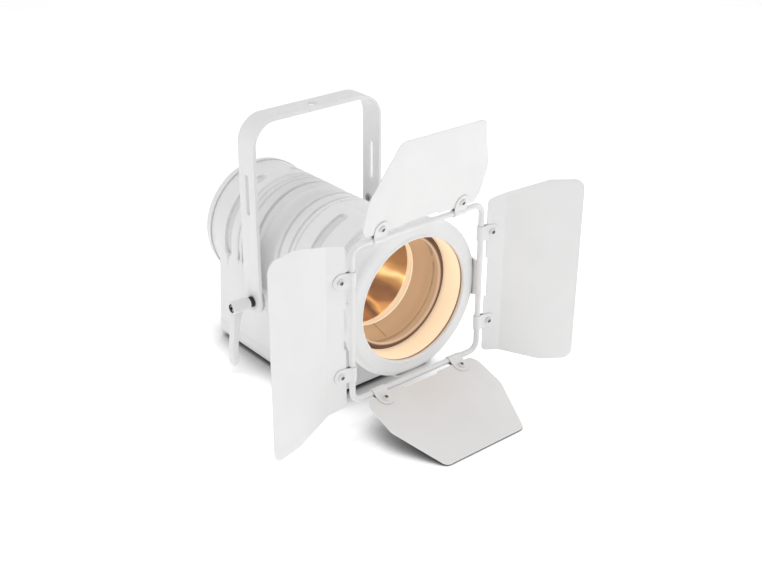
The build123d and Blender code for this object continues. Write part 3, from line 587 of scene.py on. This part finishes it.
def leaf_outline(corners, radii):
    """Half outline from the notch outwards, mirrored across the leaf's middle."""
    notch_u = LEAF_EDGE_U + NOTCH_DEPTH
    half = [(notch_u, NOTCH_HALF), (LEAF_EDGE_U, NOTCH_HALF)] + corners
    half_radii = [0.6, 0.6] + radii
    points = half + [(u, -v) for u, v in reversed(half)]
    return round_corners(points, half_radii + half_radii[::-1])


def screw_holes():
    return [circle(CLIP_SCREW_U, v, 2.1, 24) for v in (-CLIP_SPREAD, CLIP_SPREAD)]


def build_leaf(side):
    if side in ("top", "bottom"):
        outline = leaf_outline([(LEAF_EDGE_U, 70), (16, 75), (52, 75.5), (112, 52.5)], [4, 12, 14, 8])
        shape = plate(outline, screw_holes(), SHEET_T, 0.3)
        return settle(f"leaf_{side}_sheet", shape, leaf_matrix(side))
    outline = leaf_outline([(LEAF_EDGE_U, 88), (FOLD_U, 92.5), (FOLD_U + 44.5, 105.5), (FOLD_U + 81, 105.5)],
                           [6, 3, 16, 11])
    bend_r = 3.0
    bend_length = bend_r * math.radians(SIDE_FOLD)
    start = FOLD_U - bend_length / 2
    cuts = [start + bend_length * k / 6 for k in range(7)]
    shape = plate(outline, screw_holes(), SHEET_T, 0.3, cuts)
    for vertex in shape.verts:
        past = vertex.co.x - start
        if past <= 0:
            continue
        angle = min(past, bend_length) / bend_r
        height = bend_r - vertex.co.z
        x = start + height * math.sin(angle)
        z = bend_r - height * math.cos(angle)
        rest = max(0.0, past - bend_length)
        vertex.co.x = x + rest * math.cos(angle)
        vertex.co.z = z + rest * math.sin(angle)
    return settle(f"leaf_{side}_sheet", shape, leaf_matrix(side))


def clip_path():
    """Centre line of a clip's strap in the XZ plane of its leaf: out along one face, round the rod, back."""
    gap = SHEET_T / 2 + CLIP_T / 2
    wrap_r = ROD_R + 0.05 + CLIP_T / 2
    ends = [CLIP_SCREW_U + CLIP_WIDTH / 2 * math.sin(math.radians(90 - 9 * k)) for k in range(11)]
    upper = [(u, gap) for u in ends] + [(10.5, gap), (8.6, gap), (7.4, gap + 0.15)]
    first = math.radians(38)
    sweep = 2 * math.pi - 2 * first
    wrap = [(wrap_r * math.cos(first + sweep * k / 24), wrap_r * math.sin(first + sweep * k / 24))
            for k in range(25)]
    lower = [(u, -z) for u, z in reversed(upper)]
    return upper + wrap + lower


def build_clips(side):
    shape = bmesh.new()
    place = leaf_matrix(side)
    half = CLIP_WIDTH / 2
    for v in (-CLIP_SPREAD, CLIP_SPREAD):
        rows = []
        for u, z in clip_path():
            past = max(0.0, u - CLIP_SCREW_U)
            reach = math.sqrt(max(half ** 2 - past ** 2, 0.01))
            rows.append([shape.verts.new((u, v + reach * k / 4, z)) for k in range(-4, 5)])
        for row, other in zip(rows, rows[1:]):
            for k in range(8):
                shape.faces.new([row[k], row[k + 1], other[k + 1], other[k]])
    bmesh.ops.recalc_face_normals(shape, faces=shape.faces)
    mesh = bpy.data.meshes.new("clips")
    shape.to_mesh(mesh)
    shape.free()
    thing = bpy.data.objects.new(f"clips_{side}_straps", mesh)
    bpy.context.scene.collection.objects.link(thing)
    solid = thing.modifiers.new("solid", "SOLIDIFY")
    solid.thickness = CLIP_T
    solid.offset = 0
    solid.use_even_offset = True
    edge = thing.modifiers.new("edge", "BEVEL")
    edge.width = 0.22
    edge.segments = 2
    edge.limit_method = "ANGLE"
    edge.angle_limit = math.radians(40)
    return bake(thing, place)


def bake(thing, place=None, sharp=32.0):
    """Apply a millimetre object's modifiers and bring it to metres."""
    graph = bpy.context.evaluated_depsgraph_get()
    mesh = bpy.data.meshes.new_from_object(thing.evaluated_get(graph))
    thing.modifiers.clear()
    thing.data = mesh
    mesh.transform(Matrix.Scale(MM, 4))
    if place is not None:
        mesh.transform(place)
    mesh.polygons.foreach_set("use_smooth", [True] * len(mesh.polygons))
    mesh.set_sharp_from_angle(angle=math.radians(sharp))
    return thing


def key_screw(shape, place, head_r, head_h, socket_r, sides=36):
    """Dome head with a hexagonal socket, its seat at Z = 0. The socket's faces take material 1, a darker one
    that paints the shade inside the socket.
    """
    depth = head_h * 0.62

    def hexagon(angle):
        return socket_r * math.cos(math.pi / 6) / math.cos((angle % (math.pi / 3)) - math.pi / 6)

    dome = [(head_r, 0.0), (head_r, head_h * 0.28), (head_r * 0.95, head_h * 0.55),
            (head_r * 0.83, head_h * 0.8), (head_r * 0.66, head_h * 0.95), (head_r * 0.56, head_h)]
    rings = []
    for r, h in dome:
        rings.append([(r * math.cos(2 * math.pi * k / sides), r * math.sin(2 * math.pi * k / sides), h)
                      for k in range(sides)])
    for grow, h in ((1.06, head_h), (1.0, head_h - 0.12), (1.0, head_h - depth)):
        ring = []
        for k in range(sides):
            angle = 2 * math.pi * k / sides
            r = hexagon(angle) * grow
            ring.append((r * math.cos(angle), r * math.sin(angle), h))
        rings.append(ring)
    made = [[shape.verts.new(place @ Vector(point)) for point in ring] for ring in rings]
    for level, (low, high) in enumerate(zip(made, made[1:])):
        for k in range(sides):
            face = shape.faces.new([low[k], low[(k + 1) % sides], high[(k + 1) % sides], high[k]])
            face.material_index = 1 if level >= len(dome) else 0
    floor = shape.faces.new(made[-1])
    floor.material_index = 1
    shape.faces.new(list(reversed(made[0])))


def hex_nut(shape, place):
    """Six-sided nut with eased edges, its seat at Z = 0."""
    made = []
    for r, h in ((3.1, 0.0), (3.6, 0.25), (3.6, 1.9), (3.2, 2.2)):
        corners = [(r * math.cos(k * math.pi / 3), r * math.sin(k * math.pi / 3), h) for k in range(6)]
        made.append([shape.verts.new(place @ Vector(corner)) for corner in corners])
    for low, high in zip(made, made[1:]):
        for k in range(6):
            shape.faces.new([low[k], low[(k + 1) % 6], high[(k + 1) % 6], high[k]])
    shape.faces.new(made[-1])
    shape.faces.new(list(reversed(made[0])))


def build_clip_screws(side):
    shape = bmesh.new()
    top = SHEET_T / 2 + CLIP_T
    for v in (-CLIP_SPREAD, CLIP_SPREAD):
        seat = Matrix.Translation((CLIP_SCREW_U, v, top))
        key_screw(shape, seat, CLIP_HEAD_R, CLIP_HEAD_H, CLIP_SOCKET_R)
        hex_nut(shape, Matrix.Translation((CLIP_SCREW_U, v, -top)) @ Matrix.Rotation(math.pi, 4, "X"))
    return settle(f"clip_screws_{side}_set", shape, leaf_matrix(side))


for side in ("top", "bottom", "left", "right"):
    body = f"leaf_{side}"
    leaf = dress(build_leaf(side), sheet_white)
    clips = dress(build_clips(side), sheet_white)
    screws = dress(build_clip_screws(side), screw_white, socket_grey)
    for piece, node in ((leaf, f"leaf_{side}"), (clips, f"clips_{side}"), (screws, f"clip_screws_{side}")):
        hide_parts(node)
        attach(piece, body)

rods = dress(build_rods(), sheet_white)
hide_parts("rod_frame")
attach(rods, "barndoor")


# ------------------------------------------------------------ snoot, lens and what shows through it
def lens_axis_piece(name, outline, edge, look, node, body, steps=200):
    """Turned piece on the lens axis that stands for a CAD node."""
    points = soften(outline, edge) if edge else outline
    piece = dress(settle(name, turned(points, steps), BEAM), look)
    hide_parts(node)
    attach(piece, body)
    return piece


SNOOT_IN_R, SNOOT_OUT_R, SNOOT_RIM_R = 66.5, 69.1, 70.8
SNOOT_FRONT_Y, LENS_BACK_Y, FRONT_PLATE_Y = -149.5, -113.0, -99.0
LENS_R, LENS_EDGE_T, LENS_BULGE = 64.0, 6.0, 20.0

SEAM_ANGLE = math.radians(-92.0)
SEAM_HALF = 0.3
SEAM_ENDS = [(59.95, -112.4), (53.0, -89.7)]

ring_outline = [(66.8, -151.2), (66.8, -153.2), (68.0, -154.6), (69.6, -154.6), (70.8, -153.9),
                (79.0, -153.2), (82.8, -152.0), (85.0, -150.0), (86.0, -147.2), (86.0, -144.0),
                (83.6, -144.0), (83.2, -148.2), (80.6, -150.2), (74.0, -150.2), (74.0, -137.0),
                (69.2, -137.0), (69.2, -150.0), (66.8, -150.0)]


def build_ring():
    """Bezel turned from sheet, with four tabs that reach forward to the rods."""
    shape = turned(soften(ring_outline, 0.9), 220)
    shape.transform(BEAM.to_3x3().to_4x4())
    for quarter in range(4):
        tab = plate(round_corners([(-22, 0), (22, 0), (19, 12.6), (-19, 12.6)], [0, 0, 3, 3]), [], 2.2, 0.3)
        stand = Matrix.Rotation(math.radians(90 * quarter), 4, "Y") @ Matrix.Translation((83.6, -145.0, 0))
        turn = Matrix(((0, 0, 1, 0), (0, -1, 0, 0), (1, 0, 0, 0), (0, 0, 0, 1)))
        tab.transform(stand @ turn)
        absorb(shape, tab)
    return settle("bezel", shape, Matrix.Translation((0, 0, lens_axis_z * MM)))


bezel = dress(build_ring(), sheet_white, lip_shade)
for face in bezel.data.polygons:
    if axis_radius(face) < 66.9 and face.center.y / MM > -151.6:
        face.material_index = 1
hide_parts("barndoor_ring")
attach(bezel, "barndoor")

snoot_outline = [(SNOOT_IN_R, SNOOT_FRONT_Y), (SNOOT_OUT_R, SNOOT_FRONT_Y), (SNOOT_OUT_R, -107.0)]
for groove_y in (-105.4, -103.0, -100.6):
    snoot_outline += [(SNOOT_RIM_R, groove_y - 0.9), (SNOOT_RIM_R, groove_y + 0.5)]
    snoot_outline.append((SNOOT_OUT_R, groove_y + 0.7))
snoot_outline += [(SNOOT_OUT_R, FRONT_PLATE_Y), (60.5, FRONT_PLATE_Y), (60.5, LENS_BACK_Y),
                  (SNOOT_IN_R, LENS_BACK_Y)]
snoot = lens_axis_piece("snoot_tube", snoot_outline, 0.35, sheet_white, "snoot", "housing")
snoot.data.materials.append(painted_peach_glow)
snoot.data.materials.append(tan)
# Painted warm glow: the inner wall takes the peach glow coat, the ledge behind the lens the tan one.
for face in snoot.data.polygons:
    if axis_radius(face) < SNOOT_IN_R + 0.6:
        face.material_index = 1 if face.center.y / MM < LENS_BACK_Y - 3 else 2

retainer_outline = [(58.5, -124.8), (60.2, -126.4), (62.8, -126.4), (64.6, -124.6), (66.4, -124.0),
                    (66.4, -119.0), (64.3, -119.0), (61.5, -121.6), (58.5, -123.6)]
lens_axis_piece("lens_ring", retainer_outline, 0.9, retainer_painted_light, "lens_retainer", "housing")

lens_rim_y = LENS_BACK_Y - LENS_EDGE_T
sphere_r = (LENS_R ** 2 + LENS_BULGE ** 2) / (2 * LENS_BULGE)
lens_outline = [(0, LENS_BACK_Y), (LENS_R, LENS_BACK_Y)]
for step in range(25):
    reach = LENS_R * (1 - step / 24)
    lens_outline.append((reach, lens_rim_y - math.sqrt(sphere_r ** 2 - reach ** 2) + sphere_r - LENS_BULGE))
lens = lens_axis_piece("lens_element", lens_outline, 0, lens_glass, "lens", "housing")
lens.data.materials.append(tan)
# Painted warm glow: the lens's rim faces take the tan glow coat.
for face in lens.data.polygons:
    if axis_radius(face) > LENS_R - 0.5 and abs(face.normal.y) < 0.3:
        face.material_index = 1

funnel_outline = [(60.3, -98.7), (60.4, -112.5), (60.2, -112.5), (53.2, -89.8), (54.2, -89.8), (55.7, -93.5),
                  (65.5, -93.5), (65.5, -95.0), (60.3, -95.0)]
funnel = turned(soften(funnel_outline, 0.05), 200)
across = (-math.sin(SEAM_ANGLE), -math.cos(SEAM_ANGLE))
(low_r, low_y), (high_r, high_y) = SEAM_ENDS
strip = []
for r, h, v in ((low_r, low_y, -SEAM_HALF), (high_r, high_y, -SEAM_HALF), (high_r, high_y, SEAM_HALF),
                (low_r, low_y, SEAM_HALF)):
    strip.append(funnel.verts.new((r * math.cos(SEAM_ANGLE) + v * across[0],
                                   -r * math.sin(SEAM_ANGLE) + v * across[1], h)))
funnel.faces.new(strip).material_index = 1
# Painted warm glow: the funnel takes the tan glow coat, its seam strip a dim brown glow.
funnel = dress(settle("funnel_sheet", funnel, BEAM), tan, brown)
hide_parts("light_funnel")
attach(funnel, "housing")

rim_outline = [(53.4, -88.6), (53.9, -89.3), (54.6, -88.5), (55.4, -89.3), (56.0, -88.6), (56.0, -79.0),
               (54.6, -79.0)]
lens_axis_piece("reflector_lip", rim_outline, 0.4, cream, "reflector_rim", "carriage")

THROAT_R, MOUTH_R, THROAT_Y, MOUTH_Y = 11.5, 53.6, -23.5, -79.0


def bowl(extra):
    curve = []
    for step in range(33):
        t = (step / 32) ** 2
        radius = THROAT_R + extra + (MOUTH_R - THROAT_R) * math.sqrt(t)
        curve.append((radius, THROAT_Y + (MOUTH_Y - THROAT_Y) * t))
    return curve


bowl_outline = bowl(0) + list(reversed(bowl(1.6)))
bowl_outline += [(20.0, -24.5), (20.0, -19.0), (16.0, -19.0), (16.0, -23.0)]
lens_axis_piece("reflector_bowl", bowl_outline, 0, gold, "reflector", "carriage")


# ------------------------------------------------------------ cast housing
TUBE_R, CAST_WALL = 70.0, 3.4
FOOT_HALF, FOOT_Z = 75.8, 7.0
CAST_FRONT_Y, BASE_REAR_Y, CAP_SEAM_Y = -95.0, 99.0, 116.0
GROOVE_END_Z = lens_axis_z - 14
GROOVES = [(61.0, 4.0, 1.6), (53.0, 4.0, 1.6), (45.0, 3.4, 1.6), (29.0, 5.0, 2.6), (18.5, 2.2, 0.7),
           (-12.7, 4.6, 2.4), (-28.0, 4.6, 2.2), (-36.6, 6.4, 1.8)]
WAIST_MIDDLE, WAIST_HALF, WAIST_DEPTH = 5.0, 11.0, 2.4
SLOTS = [(82.0, 6.2), (-62.5, 6.4)]
SLOT_START, SLOT_END, SLOT_FLOOR_R = math.radians(109), math.radians(187), 67.2
SLOT_EASE = 0.25
ROUND = 0.5
SEAM_DIP, SIDE_LINE_DIP = 0.14, 0.15
BOSS_OUTLINE = [(4.1, 60), (16.4, 60), (16.4, 72.0), (15.0, 72.9), (14.2, 73.8), (14.0, 74.8), (14.0, 76.4),
                (13.4, 77.0), (4.1, 77.0)]

foot_drop = lens_axis_z - FOOT_Z
tangent = (math.atan2(-foot_drop, -FOOT_HALF) % (2 * math.pi)
           - math.acos(TUBE_R / math.hypot(FOOT_HALF, foot_drop)))


def inside(depth, ease=ROUND):
    """0 outside an edge, 1 inside it, eased across it."""
    t = min(1.0, max(0.0, (depth + ease) / (2 * ease)))
    return t * t * (3 - 2 * t)


def skin_radius(y, angle, flat_r):
    """Distance of the cast skin from the lens axis, with its grooves, waist and side slots."""
    radius = flat_r
    above_end = inside(lens_axis_z + flat_r * math.sin(angle) - GROOVE_END_Z, 1.5)
    for middle, width, depth in GROOVES:
        radius += (TUBE_R - depth - radius) * inside(width / 2 - abs(y - middle)) * above_end
    reach = 1 - ((y - WAIST_MIDDLE) / WAIST_HALF) ** 2
    if reach > 0:
        radius -= WAIST_DEPTH * inside(reach * 1.4 - 0.35, 0.55) * reach * above_end
    for middle, half in SLOTS:
        past = max(SLOT_START - angle, angle - SLOT_END, 0.0) * TUBE_R
        depth = half - math.hypot(past, y - middle)
        radius += (SLOT_FLOOR_R - radius) * inside(depth, SLOT_EASE)
    return radius


def stations(last):
    """Y of the skin's rows: close together where a groove or slot has an edge."""
    marks = {CAST_FRONT_Y, CAST_FRONT_Y + 0.5, last, last - 0.4}
    marks.update(CAST_FRONT_Y + 6.0 * k for k in range(1, int((last - CAST_FRONT_Y) / 6)))
    marks.update(WAIST_MIDDLE + WAIST_HALF * k / 8 for k in range(-8, 9))
    edges = [(middle + sign * width / 2, 0.5) for middle, width, depth in GROOVES for sign in (-1, 1)]
    edges += [(middle + sign * half, 0.4) for middle, half in SLOTS for sign in (-1, 1)]
    for edge, reach in edges:
        marks.update(edge + step for step in (-reach, -0.2, 0.0, 0.2, reach))
    for middle, half in SLOTS:
        marks.update(middle + 0.9 * k for k in range(-7, 8))
    ordered = sorted(mark for mark in marks if mark <= last)
    return [mark for mark, after in zip(ordered, ordered[1:] + [last + 1]) if after - mark > 0.08]


def arc_rows():
    rows = [math.acos(-x / TUBE_R) for x in (0.02, 0.30, 0.37)]
    degrees = 91.5
    while degrees < math.degrees(tangent) - 0.8:
        rows.append(math.radians(degrees))
        degrees += 0.45 if 103.5 < degrees < 110.5 else 1.5
    return rows + [tangent]


def patch(shape, rows, marks, side):
    """Grid of quads from rows of (angle, flat radius)."""
    grid = []
    for angle, flat_r in rows:
        line = []
        for y in marks:
            radius = skin_radius(y, angle, flat_r)
            x = radius * math.cos(angle)
            if abs(x) < 0.34:
                radius -= SEAM_DIP
            if y in (CAST_FRONT_Y, CAP_SEAM_Y):
                radius -= 0.3
            x, z = radius * math.cos(angle), lens_axis_z + radius * math.sin(angle)
            if 19.98 < z < 20.42:
                x += SIDE_LINE_DIP
            line.append(shape.verts.new((-side * x, y, z)))
        grid.append(line)
    for line, other in zip(grid, grid[1:]):
        for k in range(len(marks) - 1):
            shape.faces.new([line[k], line[k + 1], other[k + 1], other[k]])


def build_half(side):
    shape = bmesh.new()
    patch(shape, [(angle, TUBE_R) for angle in arc_rows()], stations(CAP_SEAM_Y), side)
    touch_x, touch_z = TUBE_R * math.cos(tangent), lens_axis_z + TUBE_R * math.sin(tangent)
    heights = [touch_z - 0.8 * k for k in range(24)]
    heights += [100, 84, 66, 46, 28, 20.6, 20.44, 20.4, 20.0, 19.96, 19.7, 12, 7.5, FOOT_Z]
    flat_rows = []
    for z in heights:
        share = (touch_z - z) / (touch_z - FOOT_Z)
        x = touch_x + (-FOOT_HALF - touch_x) * share + (0.4 if z == FOOT_Z else 0)
        flat_rows.append((math.atan2(z - lens_axis_z, x) % (2 * math.pi), math.hypot(x, z - lens_axis_z)))
    flat_rows[0] = (tangent, TUBE_R)
    patch(shape, flat_rows, stations(BASE_REAR_Y), side)
    under = [tangent + (1.5 * math.pi - 0.0015 - tangent) * k / 40 for k in range(41)]
    patch(shape, [(angle, TUBE_R) for angle in under], [BASE_REAR_Y, CAP_SEAM_Y - 0.4, CAP_SEAM_Y], side)
    skin = settle("skin", shape)
    rim = skin.modifiers.new("rim", "SOLIDIFY")
    rim.thickness = CAST_WALL * MM
    rim.offset = -1
    rim.use_rim_only = True
    skin.data = bpy.data.meshes.new_from_object(skin.evaluated_get(bpy.context.evaluated_depsgraph_get()))
    skin.modifiers.clear()
    boss = turned(BOSS_OUTLINE, 72)
    stand = Matrix.Translation((0, pivot_y * MM, pivot_z * MM)) @ Matrix.Rotation(side * math.pi / 2, 4, "Y")
    boss = settle("boss", boss, stand)
    join = bmesh.new()
    for piece in (skin, boss):
        join.from_mesh(piece.data)
        bpy.data.objects.remove(piece)
    name = "left" if side < 0 else "right"
    mesh = bpy.data.meshes.new(f"housing_{name}_casting")
    join.to_mesh(mesh)
    join.free()
    mesh.set_sharp_from_angle(angle=math.radians(50))
    half = bpy.data.objects.new(f"housing_{name}_casting", mesh)
    bpy.context.scene.collection.objects.link(half)
    return half


for side, node in ((-1, "housing_left"), (1, "housing_right")):
    half = dress(build_half(side), cast_skin)
    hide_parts(node)
    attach(half, "housing")


# ------------------------------------------------------------ yoke
def build_yoke():
    """Flat strip with its holes and slots, bent twice into a U."""
    middle_half = yoke_half - YOKE_T / 2
    bend = YOKE_BEND_R - YOKE_T / 2
    arm = yoke_top - YOKE_T / 2 - bend - pivot_z
    arc = bend * math.pi / 2
    top = 2 * (middle_half - bend)
    total = 2 * arm + 2 * arc + top
    half = yoke_width / 2
    outline = slot_loop(0, total, half, 24)
    slot_low, slot_high = (lens_axis_z + height - pivot_z for height in YOKE_SLOT_CENTRES)
    nut_place = lens_axis_z + RIVET_NUT_UP - pivot_z
    holes = [circle(0, 0, BUSH_NECK_R), circle(total, 0, BUSH_NECK_R), circle(total / 2, 0, BOLT_HOLE_R),
             circle(total - nut_place, RIVET_NUT_Y, RIVET_NUT_R),
             slot_loop(slot_low, slot_high, YOKE_SLOT_HALF),
             slot_loop(total - slot_high, total - slot_low, YOKE_SLOT_HALF)]
    cuts = [arm + arc * k / 14 for k in range(15)]
    cuts += [total - cut for cut in cuts]
    shape = plate(outline, holes, YOKE_T, 0.5, cuts)
    for vertex in shape.verts:
        s, w, t = vertex.co
        mirrored = s > total / 2
        if mirrored:
            s = total - s
        if s <= arm:
            x, z = -middle_half - t, pivot_z + s
        elif s <= arm + arc:
            angle = (s - arm) / bend
            x = -middle_half + bend - (bend + t) * math.cos(angle)
            z = pivot_z + arm + (bend + t) * math.sin(angle)
        else:
            x, z = -middle_half + bend + (s - arm - arc), pivot_z + arm + bend + t
        vertex.co = (-x if mirrored else x, pivot_y + w, z)
    return settle("yoke_strip", shape)


yoke = dress(build_yoke(), sheet_white)
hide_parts("yoke")
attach(yoke, "yoke")

# ------------------------------------------------------------ clamp lever
LEVER_IN_X, LEVER_OUT_X = 90.1, 112.0
KEY_SEAT_X, KEY_HEAD_R, KEY_HEAD_H, KEY_SOCKET_R = -108.4, 4.35, 3.3, 2.6
# Stations of the handle: height, inner X, outer X, half width along Y, corner radius.
HANDLE = [
    (-5.0, -99.0, -111.4, 4.6, 2.6), (-8.0, -100.2, -111.9, 4.8, 2.2),
    (-14.0, -102.6, -112.5, 4.8, 1.8), (-29.4, -105.6, -113.6, 4.7, 1.6),
    (-44.8, -107.4, -115.2, 4.7, 1.6), (-55.4, -108.4, -116.2, 4.7, 1.6),
    (-58.3, -107.6, -116.4, 4.8, 1.8), (-61.1, -107.1, -116.4, 4.8, 2.0),
    (-65.5, -107.5, -116.0, 4.5, 2.4), (-68.4, -109.0, -114.9, 3.6, 2.4),
    (-69.7, -110.8, -113.2, 2.0, 1.0),
]


def rounded_section(half_x, half_y, corner, steps=6):
    """Outline of a bar with round corners, counter-clockwise."""
    corner = min(corner, half_x * 0.95, half_y * 0.95)
    points = []
    for quarter, (sx, sy) in enumerate(((1, 1), (-1, 1), (-1, -1), (1, -1))):
        for k in range(steps + 1):
            angle = math.radians(90 * quarter + 90 * k / steps)
            points.append((sx * (half_x - corner) + corner * math.cos(angle),
                           sy * (half_y - corner) + corner * math.sin(angle)))
    return points


def build_lever():
    """Hub on the pivot with a handle that hangs down from its outer end."""
    hub = [(4.9, LEVER_IN_X), (6.2, LEVER_IN_X), (6.6, LEVER_IN_X + 0.4), (7.2, LEVER_OUT_X - 1.4),
           (6.9, LEVER_OUT_X - 0.5), (6.2, LEVER_OUT_X), (5.1, LEVER_OUT_X), (4.9, LEVER_OUT_X - 0.3)]
    shape = turned(hub, 64)
    shape.transform(Matrix.Rotation(-math.pi / 2, 4, "Y"))
    rings = []
    for drop, inner_x, outer_x, half_y, corner in HANDLE:
        middle, half_x = (inner_x + outer_x) / 2, (inner_x - outer_x) / 2
        rings.append([shape.verts.new((middle + x, y, drop))
                      for x, y in rounded_section(half_x, half_y, corner)])
    for ring, other in zip(rings, rings[1:]):
        for k in range(len(ring)):
            after = (k + 1) % len(ring)
            shape.faces.new([ring[k], ring[after], other[after], other[k]])
    shape.faces.new(rings[0])
    shape.faces.new(list(reversed(rings[-1])))
    place = Matrix.Translation((0, pivot_y * MM, pivot_z * MM))
    return settle("lever_handle", shape, place, 40.0)


def build_lever_screw():
    """Bright key screw let into the hub's outer end."""
    shape = bmesh.new()
    seat = Matrix.Translation((KEY_SEAT_X, 0, 0)) @ Matrix.Rotation(-math.pi / 2, 4, "Y")
    key_screw(shape, seat, KEY_HEAD_R, KEY_HEAD_H, KEY_SOCKET_R)
    sleeve = turned([(4.9, 0), (4.9, 3.2), (4.75, 3.2), (4.75, 0)], 40)
    sleeve.transform(seat)
    # Painted shade: the thin sleeve lining the hub's bore round the head takes the dark socket material.
    for face in sleeve.faces:
        face.material_index = 1
    absorb(shape, sleeve)
    return settle("lever_key_screw", shape, Matrix.Translation((0, pivot_y * MM, pivot_z * MM)))


handle = dress(build_lever(), lever_white)
key_head = dress(build_lever_screw(), bright_steel, socket_black)
for piece, node, body, slot in ((handle, "clamp_lever", "lever", "white_plastic"),
                                (key_head, "lever_screw", "clamp", "zinc_steel")):
    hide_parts(node)
    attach(piece, body)

# ------------------------------------------------------------ stage, light and camera
FLOOR_HALF = 6.0
FLOOR_GLOW = 0.44
floor_mesh = bmesh.new()
bmesh.ops.create_grid(floor_mesh, x_segments=24, y_segments=24, size=FLOOR_HALF)
floor_data = bpy.data.meshes.new("floor")
floor_mesh.to_mesh(floor_data)
floor_mesh.free()
floor = bpy.data.objects.new("floor", floor_data)
bpy.context.scene.collection.objects.link(floor)
floor_look, floor_tree, floor_shader = new_material("floor_white")
# Painted contact shadow: ambient occlusion darkens the floor's colour and glow near the fixture.
openness = add_node(floor_tree, "ShaderNodeAmbientOcclusion", {"Distance": 0.05}, samples=12)
contact_shadow = value_range(floor_tree, openness.outputs["AO"], 0.0, 1.0, 0.15, 0.92)
paper = noise(floor_tree, 3.0, 2.0)
grey = colour_ramp(floor_tree, contact_shadow, [(0.0, (0.02, 0.02, 0.02)), (0.45, (0.18, 0.18, 0.18)),
                                           (0.8, (0.78, 0.78, 0.78)), (1.0, (0.97, 0.97, 0.97))])
floor_tree.links.new(grey, floor_shader.inputs["Base Color"])
floor_tree.links.new(value_range(floor_tree, paper, 0.75, 0.85), floor_shader.inputs["Roughness"])
floor_shader.inputs["Specular IOR Level"].default_value = 0.1
floor_shader.inputs["Emission Color"].default_value = (1, 1, 1, 1)
glow = value_range(floor_tree, contact_shadow, 0.0, FLOOR_GLOW)
floor_tree.links.new(glow, floor_shader.inputs["Emission Strength"])
dress(floor, floor_look)

# Grey of the surroundings, by the sine of the height above the horizon.
SKY_GREYS = ((0.0, 0.84), (0.16, 0.84), (0.4, 0.38), (1.0, 0.38))
SKY = [(sine, [level] * 3) for sine, level in SKY_GREYS]
world = bpy.data.worlds.new("studio")
bpy.context.scene.world = world
world.use_nodes = True
sky_tree = world.node_tree
sky_parts = add_node(sky_tree, "ShaderNodeSeparateXYZ")
sky_tree.links.new(add_node(sky_tree, "ShaderNodeTexCoord").outputs["Generated"], sky_parts.inputs[0])
sky = colour_ramp(sky_tree, sky_parts.outputs["Z"], SKY)
sky_tree.links.new(sky, sky_tree.nodes["Background"].inputs["Color"])
sky_tree.nodes["Background"].inputs["Strength"].default_value = 1.0


def softbox(name, place, target, size, power):
    light = bpy.data.lights.new(name, "AREA")
    light.shape = "RECTANGLE"
    light.size, light.size_y = size
    light.energy = power
    thing = bpy.data.objects.new(name, light)
    thing.location = place
    direction = Vector(target) - Vector(place)
    thing.rotation_euler = direction.to_track_quat("-Z", "Y").to_euler()
    bpy.context.scene.collection.objects.link(thing)


softbox("key", (1.3, -1.05, 0.7), (0.05, -0.1, 0.12), (0.8, 0.8), 4.8)
softbox("side", (-1.6, 0.7, 0.8), (0, 0, 0.1), (1.2, 1.2), 2.4)
softbox("top", (0.0, -0.1, 2.2), (0, 0, 0), (1.6, 1.6), 17.5)

CAMERA_PLACE = Vector((-0.7363, -0.9859, 0.6933))
CAMERA_TARGET = Vector((0.0012, -0.0988, 0.1209))
CAMERA_ROLL = math.radians(0.26)
camera_data = bpy.data.cameras.new("camera")
camera_data.sensor_width = 36.0
camera_data.lens = 58.19
camera_data.clip_end = 50.0
camera = bpy.data.objects.new("camera", camera_data)
camera.location = CAMERA_PLACE
look_direction = (CAMERA_TARGET - CAMERA_PLACE).to_track_quat("-Z", "Y")
roll = Matrix.Rotation(CAMERA_ROLL, 4, "Z")
camera.rotation_euler = (look_direction.to_matrix().to_4x4() @ roll).to_euler()
bpy.context.scene.collection.objects.link(camera)
bpy.context.scene.camera = camera
bpy.context.scene.view_settings.view_transform = "Standard"
